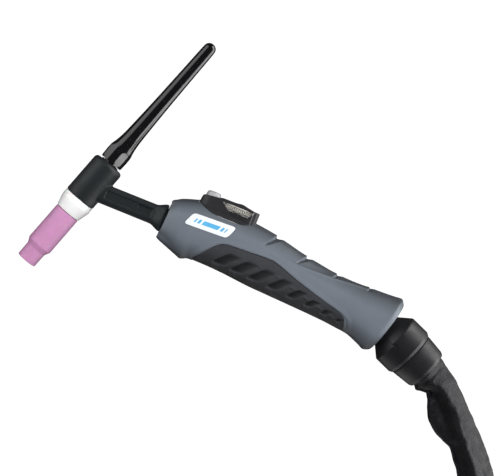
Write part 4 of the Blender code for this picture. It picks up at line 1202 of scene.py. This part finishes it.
# Small notch at the head of the rear pillar, where the window's edge meets it.
PILLAR_NOTCH = (-15.2, 28.2, -13.6, 29.2)
WHEEL_RIBS = 44
BUTTON_FLANGE_HEIGHT = 1.4
BUTTON_LEDGE = 0.7


def module_edge(count):
    x = np.linspace(SADDLE_EDGE[0][0], SADDLE_EDGE[-1][0], count)
    return list(zip(x, table_at(SADDLE_EDGE, x)[0]))


def saddle_rings():
    """Sections of the module's saddle: the top of the handle, a little proud, with a dip at its edge."""
    rings = []
    for x, z in module_edge(90):
        start = float(angle_at(x, z))
        angles = np.linspace(start, math.pi - start, 90)
        points = handle_surface(x, angles, -0.25, RIGHT)
        edge = np.minimum(angles - start, math.pi - start - angles)
        points[:, 2] -= 0.2 * bell(edge / 0.03)
        rings.append(points)
    return rings


def block_rings():
    """Sections of the block over the saddle, from its foot on the handle up to its rounded top."""
    ends = BLOCK_ROWS[0][0], BLOCK_ROWS[-1][0]
    rings = []
    for x in np.unique(np.concatenate([np.linspace(*ends, 120), [row[0] for row in BLOCK_ROWS]])):
        half_width, top = table_at(BLOCK_ROWS, x)
        foot = float(handle_surface(x, angle_at_width(x, half_width), 0.0, RIGHT)[..., 2]) - 1.2
        corner = [(half_width + 0.35, foot), (half_width, top), (0.0, top + 0.15)]
        right = rounded(corner, 1.3, 6, loop=False)[:-1]
        outline = np.vstack([right, right[::-1] * np.array([-1.0, 1.0])])
        rings.append(np.column_stack([np.full(len(outline), x), outline]))
    return rings


def angle_at_width(x, y):
    half_width = table_at(HANDLE_ROWS, x)[2]
    return np.arccos(np.clip(y / half_width, 0.0, 1.0) ** (SECTION_POWER / 2.0))


def make_module():
    housing = skin("trigger_module_housing", saddle_rings())
    combine(housing, [skin("module_block", block_rings())], "UNION")
    centre, radius, bottom, top = upright_part("thumbwheel")
    pot_top = node_box("potentiometer")[1][2]
    reach, low, high = radius + 0.45, bottom - SEAM, top + 0.35
    pocket = rounded([(0.5, low), (reach, low), (reach, high), (0.5, high)], 0.4, 3, loop=False)
    tools = [prism("wheel_window", rounded(WINDOW, 0.6, 4), -FAR_SIDE, FAR_SIDE)]
    tools.append(turned_about("wheel_pocket", UPRIGHT, pocket, 96, loop=False, centre=centre))
    tools.append(rod("shaft_way", UPRIGHT, 2.2, pot_top - 1.0, bottom, 40, centre))
    tools.append(rod("pot_pocket", UPRIGHT, 5.6, 10.0, pot_top + SEAM, 40, centre))
    combine(housing, [*tools, board_tool(), button_tool()])
    for side, _ in SIDES:
        combine(housing, [prism("scallop", rounded(SCALLOP, 1.6, 6), *on_side(side, 8.1, FAR_SIDE))])
        notch = rounded(rectangle(*PILLAR_NOTCH), 0.3, 2)
        combine(housing, [prism("pillar_notch", notch, *on_side(side, 9.4, 12.0))])
    finish_piece(housing, "handle", "module_black", "module_housing", sharp=28.0)


def make_button():
    """Domed push button with a flange that holds it in the housing and a boss over the switch."""
    centre, flange, bottom, top = upright_part("trigger_button")
    radius, ledge, roof = flange - BUTTON_LEDGE, bottom + BUTTON_FLANGE_HEIGHT, bottom + 6.72
    dome = [(0.3, top), (2.6, top - 0.06), (4.0, top - 0.22), (4.9, top - 0.7), (5.5, top - 1.6)]
    skirt = [(radius - 0.05, top - 3.0), (radius, top - 5.0), (radius, ledge), (flange, ledge)]
    outer = rounded([*dome, *skirt, (flange, bottom)], 0.35, 3, loop=False)
    pocket = [(4.6, bottom), (4.6, bottom + 5.2), (4.2, roof), (1.8, roof)]
    profile = [*outer, *pocket, (1.8, bottom + 0.6), (0.3, bottom + 0.6)]
    button = turned_about("domed_button", UPRIGHT, profile, 96, centre=centre, loop=False)
    finish_piece(button, "button", "button_grey", "trigger_button", sharp=50.0)


def make_thumbwheel():
    """Moulded wheel: rounded ribs under a thin plain lip, a dished top and a hub on the shaft."""
    centre, radius, bottom, top = upright_part("thumbwheel")
    lip, rib = top - 0.75, radius - 0.5

    def ribbed(spread, angle, station):
        share = 0.5 + 0.5 * np.cos(angle * WHEEL_RIBS)
        groove = 1.5 * smoothstep((0.55 - share) / 0.25)
        return spread - groove * (station < lip - 0.2) * (spread > radius - 1.5), angle, station

    hub = [(1.8, top - 1.1), (3.6, top - 1.1), (4.4, top - 0.3), (9.5, top - 0.3), (10.2, top)]
    rim = [(radius - 0.2, top), (radius, top - 0.2), (radius, lip), (rib, lip - 0.05)]
    rim += [(rib, level) for level in np.linspace(lip - 0.25, bottom + 1.3, 7)]
    profile = [*hub, *rim, (radius - 1.9, bottom), (1.8, bottom)]
    wheel = turned_about("ribbed_thumbwheel", UPRIGHT, profile, WHEEL_RIBS * 10, centre=centre, shape=ribbed)
    points = points_of(wheel)
    sideways = np.hypot(points[:, 0] - centre[0], points[:, 1])
    on_ribs = (sideways > radius - 1.9) & (points[:, 2] < lip - 0.1)
    # How far into the grooves between ribs each point lies, for painted shade there.
    mark_sunken(wheel, np.where(on_ribs, smoothstep((radius - 0.6 - sideways) / 0.7), 0.0))
    finish_piece(wheel, "wheel", "wheel_grey", "thumbwheel", sharp=45.0)


# --- Ball joint, collar and clamp ring

TAB_HEIGHT = 4.8 / 20.75
COLLAR_BORE = 12.3
COLLAR_SHOULDER = 24.6
TAB_SETBACK = 1.5


def make_ball_joint():
    _, rear, _ = KNUCKLE.stations("knuckle_ball")
    radius, bore, neck = 14.0, 8.0, 9.4
    turns = np.linspace(math.asin(neck / radius), math.pi - math.asin(bore / radius), 48)
    sphere = np.column_stack([radius * np.sin(turns), radius * np.cos(turns)])
    ball = turned_about("hollow_knuckle_ball", KNUCKLE, [(neck, rear), *sphere, (bore, rear)], 112)
    finish_piece(ball, "ball", "knuckle_black", "knuckle_ball")


def make_collar():
    """Collar on the ball's neck; the upper part of its shoulder is set back from the lower part."""
    front, rear, radius = KNUCKLE.stations("knuckle_collar")
    shoulder, back, bore = COLLAR_SHOULDER, 41.6, COLLAR_BORE
    cone = [(11.3, front + 0.2), (12.6, front + 1.2)]
    cone += [(radius - 0.35, shoulder - 0.6), (radius, shoulder + 0.5)]
    barrel = [(radius, station) for station in np.linspace(shoulder + 1.0, back - 2.4, 30)]
    tail = [(radius - 0.25, back - 1.9), (19.55, back - 0.1), (19.3, back), (bore, back), (bore, rear)]
    profile = [*cone, *barrel, *tail, (9.7, rear), (9.7, front + 0.2)]
    profile = refine(profile, 0.7, shoulder - 6.0, shoulder + 8.0)
    collar = turned_about("moulded_collar", KNUCKLE, profile, 224, shape=tab_shape)
    finish_piece(collar, "cable_end", "knuckle_black", "knuckle_collar", sharp=24.0)


def refine(profile, step, start, end):
    """Adds points to the profile's long segments between two stations."""
    made = [profile[0]]
    for before, after in zip(profile, profile[1:]):
        inside = start < (before[1] + after[1]) / 2.0 < end and min(before[0], after[0]) > 12.0
        count = max(int(np.hypot(after[0] - before[0], after[1] - before[1]) / step), 1) if inside else 1
        for share in np.linspace(0.0, 1.0, count + 1)[1:]:
            made.append(tuple(np.array(before) * (1 - share) + np.array(after) * share))
    return made


def tab_shape(radius, angle, station):
    """Over the upper sector the cone runs on TAB_SETBACK further, and a slot marks each end of it."""
    past = np.cos(angle) - TAB_HEIGHT
    cone = 12.6 + (station - TAB_SETBACK - 14.7) * (20.4 - 12.6) / (24.0 - 14.7)
    outer = (radius > COLLAR_BORE) & (station > 15.5) & (station < 41.0)
    set_back = np.where(outer, np.minimum(radius, np.maximum(cone, 12.4)), radius)
    radius = radius + (set_back - radius) * smoothstep(past / 0.012)
    slot = bell((past + 0.035) / 0.028) * bell((station - COLLAR_SHOULDER - 2.0) / 1.7)
    return radius - 0.9 * slot * outer, angle, station


def make_clamp_ring():
    front, rear, radius = KNUCKLE.stations("sleeve_clamp_ring")
    outer = [(18.8, front), (radius, front + 0.5), (radius - 0.1, front + 2.4), (17.6, rear - 2.2)]
    profile = rounded([*outer, (16.6, rear), (15.2, rear), (15.2, front)], 0.5, 4)
    ring = turned_about("sleeve_clamp", KNUCKLE, profile, 144)
    finish_piece(ring, "cable_end", "knuckle_black", "sleeve_clamp_ring")


# --- Leather sleeve and cables

# Each row: the sleeve's upper edge (x, z) and lower edge (x, z) seen from the side, then how far
# across its face the long fold's crest lies, from 0 at the upper edge, and how deep it falls away.
SLEEVE_ROWS = (
    (145.3, -13.9, 134.1, -41.0, 0.60, 0.0),
    (157.6, -19.3, 146.4, -46.2, 0.62, 1.6),
    (161.5, -21.7, 149.8, -49.6, 0.66, 3.4),
    (165.5, -24.4, 153.6, -49.2, 0.68, 5.0),
    (170.0, -27.5, 157.4, -49.0, 0.64, 6.2),
    (175.0, -31.0, 160.4, -53.0, 0.55, 6.8),
    (181.0, -36.3, 163.6, -60.8, 0.44, 6.8),
    (187.0, -42.0, 168.4, -68.4, 0.38, 6.6),
    (193.0, -48.0, 175.4, -74.2, 0.43, 6.4),
    (199.0, -54.0, 183.2, -78.2, 0.53, 6.2),
    (205.0, -60.0, 189.6, -80.6, 0.59, 6.0),
    (211.0, -66.0, 193.6, -85.4, 0.61, 5.8),
    (217.0, -72.6, 198.4, -91.2, 0.62, 5.4),
    (223.4, -80.4, 203.6, -98.4, 0.62, 5.0),
    (228.4, -87.6, 208.0, -105.2, 0.62, 4.6),
    (231.2, -94.4, 211.4, -111.2, 0.62, 4.2),
)
SLEEVE_WALL = 1.6
SLEEVE_GIRTH_RADIUS = 14.4
FULL_FOLD = 5.0
SLEEVE_MOST_MOVED = 0.45
CREST_SHIFT = 0.04
CREASE_HEIGHT, WRINKLE_DEPTH, PEBBLE_HEIGHT = 0.5, 0.16, 0.11
WRINKLE_SHIFT = Vector((7.0, 3.0, 5.0))
SLEEVE_ROUNDING = (-0.15, -0.11, -0.07, -0.035, 0.0, 0.035, 0.07, 0.11, 0.15)
SLEEVE_MESH = (280, 200)
CLOTH_MESH = (66, 60)
CLOTH_STEPS = 20


def sleeve_at(share, rows=np.array(SLEEVE_ROWS)):
    """The columns of the sleeve's rows at a share of its length."""
    return [curve_through(np.linspace(0.0, 1.0, len(rows)), column, share) for column in rows.T]


def down_side(turn):
    """How far down the sleeve's side a turn from its top lies, from 0 to 1."""
    return (1.0 - np.cos(turn)) / 2.0


def sleeve_surface(share, turn):
    """Points of the sleeve's outside: share runs along it from 0 to 1, turn round it from the top."""
    top_x, top_z, low_x, low_z, crest, depth = sleeve_at(share)
    half = np.hypot(top_x - low_x, top_z - low_z) / 2.0
    width = np.sqrt(np.clip(2.0 * SLEEVE_GIRTH_RADIUS**2 - half**2, 9.5**2, 14.6**2))
    folded = smoothstep((share - 0.03) / 0.12)
    down = down_side(turn)
    near = width * folded_side(down, crest + CREST_SHIFT, depth / width, folded)
    far = width * folded_side(down, np.minimum(crest + 0.12, 0.7), 0.45 * depth / width, folded * 0.6)
    y = np.where(np.sin(turn) < 0.0, -near, far)
    x = (top_x + low_x) / 2.0 + (top_x - low_x) / 2.0 * np.cos(turn)
    z = (top_z + low_z) / 2.0 + (top_z - low_z) / 2.0 * np.cos(turn)
    return np.stack([x, y, z], axis=-1)


def round_side(down):
    return np.sqrt(np.clip(1.0 - np.square(2.0 * down - 1.0), 0.0, 1.0))


def creased_side(down, crest, depth):
    """Half a section as a share of its width: slanting out to a crest, then undercut below it."""
    slant = np.clip(down / crest, 0.0, 1.0) ** 0.88
    past = down - crest
    undercut = depth * smoothstep(past / 0.13) * (1.0 - smoothstep((past - 0.15) / 0.32))
    lobe = np.where(down > 0.5, round_side(down), 1.0) - undercut
    lobe = lobe * (1.0 - 0.12 * smoothstep(past / 0.3))
    return np.where(past < 0.0, slant, lobe)


def folded_side(down, crest, depth, folded):
    """The creased half with its crest rounded over, blended into the round one."""
    rounded_over = 0.0
    for shift in SLEEVE_ROUNDING:
        moved = np.clip(down + shift, 0.0, 1.0)
        change = creased_side(moved, crest, depth) - round_side(moved)
        rounded_over = rounded_over + change / len(SLEEVE_ROUNDING)
    sharp = creased_side(down, crest, depth) - round_side(down)
    change = sharp + (rounded_over - sharp) * smoothstep((down - 0.12) / 0.15)
    return round_side(down) + change * folded * smoothstep((1.0 - down) / 0.1)


def crease_depth(share, turn):
    """How deep in the long fold each point lies, from 0 to 1, on the near side."""
    rows = np.array(SLEEVE_ROWS)
    rows[:, -1] = np.minimum(rows[:, -1] / FULL_FOLD, 1.0)
    crest, fullness = sleeve_at(share, rows)[4:]
    past = down_side(turn) - crest - CREST_SHIFT
    across = smoothstep((past + 0.03) / 0.12) * (1.0 - smoothstep((past - 0.12) / 0.18))
    return np.where(np.sin(turn) < 0.0, across * fullness, 0.0)


def sleeve_grid(along, around):
    """A grid of points on the sleeve's outside, and their outward normals."""
    share, turn = np.linspace(0.0, 1.0, along)[:, None], steps_round(around)[None, :]
    points = sleeve_surface(share, turn)
    sideways = np.roll(points, -1, axis=1) - np.roll(points, 1, axis=1)
    normal = unit(np.cross(np.gradient(points, axis=0), sideways))
    away = points - points.mean(axis=1, keepdims=True)
    return points, normal * np.sign(np.sum(normal * away, axis=-1, keepdims=True))


CLOTH_SETTINGS = {
    "quality": 6,
    "mass": 0.3,
    "shrink_min": -0.09,
    "shrink_max": -0.09,
    "tension_stiffness": 25.0,
    "compression_stiffness": 25.0,
    "shear_stiffness": 8.0,
    "bending_stiffness": 1.2,
    "vertex_group_mass": "held",
    "pin_stiffness": 0.6,
}


def crumpled(along, around):
    """How the sleeve buckles as cloth that is a little too long for its place, held at both ends."""
    points, _ = sleeve_grid(along, around)
    index = np.arange(along * around).reshape(along, around)
    cloth = new_object("sleeve_cloth", points, quads_between(index))
    held = cloth.vertex_groups.new(name="held")
    for row in range(along):
        end = max(0.0, 1.0 - min(row, along - 1 - row) / 4.0)
        held.add(index[row].tolist(), max(end, 0.04), "REPLACE")
    modifier = cloth.modifiers.new("cloth", "CLOTH")
    for name, value in CLOTH_SETTINGS.items():
        setattr(modifier.settings, name, value)
    modifier.settings.effector_weights.gravity = 0.0
    modifier.collision_settings.use_collision = False
    scene = bpy.context.scene
    for step in range(1, CLOTH_STEPS + 1):
        scene.frame_set(step)
    graph = bpy.context.evaluated_depsgraph_get()
    shift = points_of(cloth.evaluated_get(graph)).reshape(points.shape) - points
    scene.frame_set(1)
    bpy.data.objects.remove(cloth)
    length = np.linalg.norm(shift, axis=-1, keepdims=True)
    return shift * np.minimum(1.0, SLEEVE_MOST_MOVED / np.maximum(length, 1e-9))


def enlarge_rows(grid, along):
    have, wanted = np.linspace(0.0, 1.0, len(grid)), np.linspace(0.0, 1.0, along)
    columns = grid.reshape(len(grid), -1).T
    made = np.stack([np.interp(wanted, have, column) for column in columns], axis=1)
    return made.reshape(along, *grid.shape[1:])


def enlarge(grid, along, around):
    """A coarse grid that closes on itself across its rows, read at a finer one in straight lines."""
    made = enlarge_rows(grid, along)
    wrapped = np.concatenate([made, made[:, :1]], axis=1)
    made = enlarge_rows(np.swapaxes(wrapped, 0, 1), around + 1)[:-1]
    return np.swapaxes(made, 0, 1)


def leather_relief(points):
    """Soft creases, small wrinkles and pebble grain, as heights."""
    heights = []
    for point in points.reshape(-1, 3):
        place = Vector(point)
        slanted = Vector((place.x + place.z, place.y * 0.7, place.z - place.x))
        crease = noise.noise(slanted * 0.11)
        wrinkle = max(0.1 - abs(noise.noise(place * 0.27 + WRINKLE_SHIFT)), 0.0) / 0.1
        cell = noise.voronoi(place * 1.1, distance_metric="DISTANCE")[0]
        pebble = min(cell[1] - cell[0], 0.4)
        heights.append(CREASE_HEIGHT * crease - WRINKLE_DEPTH * wrinkle + PEBBLE_HEIGHT * pebble)
    return np.array(heights).reshape(points.shape[:-1])


def make_sleeve():
    points, normal = sleeve_grid(*SLEEVE_MESH)
    points = points + enlarge(crumpled(*CLOTH_MESH), *SLEEVE_MESH)
    share, turn = np.linspace(0.0, 1.0, SLEEVE_MESH[0])[:, None], steps_round(SLEEVE_MESH[1])[None, :]
    free = smoothstep((share - 0.06) / 0.08)
    gathers = 0.2 * np.cos(9.0 * turn + 0.8 * np.sin(2.0 * turn)) * bell((share - 0.12) / 0.05)
    relief = (leather_relief(points) + gathers) * (0.1 + 0.9 * free)
    outside = points + normal * (relief - 0.05)[..., None]
    inside = points - normal * SLEEVE_WALL
    sleeve = skin("leather_cable_sleeve", np.concatenate([outside, inside[::-4]], axis=0), loop=True)
    # Depth in the long fold, for painted shade in the leather.
    mark_sunken(sleeve, crease_depth(share, turn))
    finish_piece(sleeve, "cable_end", "leather", "leather_sleeve", sharp=60.0)


# --- CAD nodes that keep their shape

KEPT_BEVEL = 0.12
KEPT_NODES = {
    "head_core": "brass",
    "neck_tube": "copper",
    "collet_body": "copper",
    "switch_plunger": "steel",
    "microswitch": "module_black",
    "trigger_spring": "steel",
    "circuit_board": "board",
    "potentiometer_shaft": "steel",
    "potentiometer": "module_black",
    "power_cable_nut": "brass",
    "cable_ferrule": "copper",
    "power_cable_front": "rubber",
    "control_cable_front": "rubber",
    "ball_seat_ring": "acetal",
    "power_cable": "rubber",
    "control_cable": "rubber",
}


def dress_kept_nodes():
    """Gives each CAD node that stays its material, and a small bevel along its hard edges."""
    for node, slot_name in KEPT_NODES.items():
        obj = frame["nodes"][node]
        obj.data.materials.clear()
        obj.data.materials.append(MATERIALS[slot_name])
        bevel = obj.modifiers.new("edge", "BEVEL")
        bevel.width = KEPT_BEVEL * MM
        bevel.segments = 2
        bevel.limit_method = "ANGLE"
        bevel.angle_limit = math.radians(50.0)


# --- Camera, light and floor

VIEW_ROLL = math.radians(22.0)
FLOOR_LEVEL = -0.75
FLOOR_SIZE = 6.0
LIGHTS = (
    # name, place, size, power, whether it gives diffuse light or only reflections
    ("front_fill", (0.1, -1.7, 0.22), (0.7, 0.7), 26.0, "diffuse"),
    ("left_fill", (-1.2, -0.8, 0.35), (0.8, 0.8), 5.0, "diffuse"),
    ("left_softbox", (-1.25, -0.75, 0.4), (1.3, 1.5), 11.0, "glossy"),
    ("right_fill", (1.3, -0.4, 0.6), (0.8, 0.8), 15.0, "diffuse"),
    ("right_softbox", (1.45, 0.02, 0.05), (1.15, 1.3), 21.0, "glossy"),
    ("upper_right_panel", (1.0, -0.1, 1.1), (1.2, 1.2), 18.0, "glossy"),
    ("under_panel", (0.2, 0.2, -0.68), (0.7, 0.7), 1.4, "glossy"),
    ("cap_panel", (1.16, -0.56, -0.42), (0.36, 0.36), 2.3, "glossy"),
    ("rear_fill", (-0.2, 1.75, 0.6), (1.2, 0.9), 20.0, "diffuse"),
)
VIEW_TARGET = (-10.5, 0.0, 10.6)
VIEW_WIDTH = 380.0
VIEW_DISTANCE = 1000.0


def make_camera():
    """Looks along +Y, rolled so that the handle slopes down towards the cable."""
    camera = bpy.data.objects.new("camera", bpy.data.cameras.new("camera"))
    bpy.context.scene.collection.objects.link(camera)
    camera.data.lens = camera.data.sensor_width * VIEW_DISTANCE / VIEW_WIDTH
    camera.location = Vector(VIEW_TARGET) * MM + Vector((0.0, -VIEW_DISTANCE, 0.0)) * MM
    camera.rotation_euler = (math.pi / 2.0, -VIEW_ROLL, 0.0)
    camera.data.clip_start = 0.05
    bpy.context.scene.camera = camera


def make_softbox(name, place, size, power, gives):
    """A rectangular light aimed at the origin, seen either by diffuse light or by reflections."""
    light = bpy.data.lights.new(name, "AREA")
    light.shape = "RECTANGLE"
    light.size, light.size_y = size
    light.energy = power
    obj = bpy.data.objects.new(name, light)
    bpy.context.scene.collection.objects.link(obj)
    obj.location = place
    obj.rotation_euler = (-Vector(place)).to_track_quat("-Z", "Y").to_euler()
    obj.visible_diffuse = gives == "diffuse"
    obj.visible_glossy = gives == "glossy"


def make_studio():
    """Soft lights round the object, under a white sky that the camera sees brighter than the object does."""
    for row in LIGHTS:
        make_softbox(*row)
    world = bpy.data.worlds.new("studio")
    bpy.context.scene.world = world
    world.use_nodes = True
    tree = world.node_tree
    sky = tree.nodes["Background"]
    sky.inputs["Color"].default_value = (1.0, 1.0, 1.0, 1.0)
    path = new_node(tree, "ShaderNodeLightPath")
    strength = remap(tree, path.outputs["Is Camera Ray"], 0.05, 1.05, source=(0.0, 1.0))
    link(tree, strength, sky.inputs["Strength"])
    bpy.context.scene.view_settings.view_transform = "Standard"


def make_floor():
    """A pale floor well below the object, bright enough to meet the white surround."""
    half = FLOOR_SIZE / MM
    corners = [(x, y, 0.0) for x, y in rectangle(-half, -half, half, half)]
    floor = new_object("studio_floor", corners, [[0, 1, 2, 3]])
    floor.location.z = FLOOR_LEVEL
    material = bpy.data.materials.new("pale_floor")
    material.use_nodes = True
    sockets = material.node_tree.nodes["Principled BSDF"].inputs
    sockets["Base Color"].default_value = (0.9, 0.9, 0.9, 1.0)
    sockets["Roughness"].default_value = 0.9
    sockets["Emission Color"].default_value = (1.0, 1.0, 1.0, 1.0)
    sockets["Emission Strength"].default_value = 1.0
    floor.data.materials.append(material)
    floor.visible_diffuse = False
    floor.visible_glossy = False


make_head()
make_nozzle()
make_heat_shield()
make_back_cap()
make_small_turned_parts()
make_handle_shells()
make_grips()
make_badges()
make_screws()
make_module()
make_button()
make_thumbwheel()
make_ball_joint()
make_collar()
make_clamp_ring()
make_sleeve()
dress_kept_nodes()
make_camera()
make_studio()
make_floor()
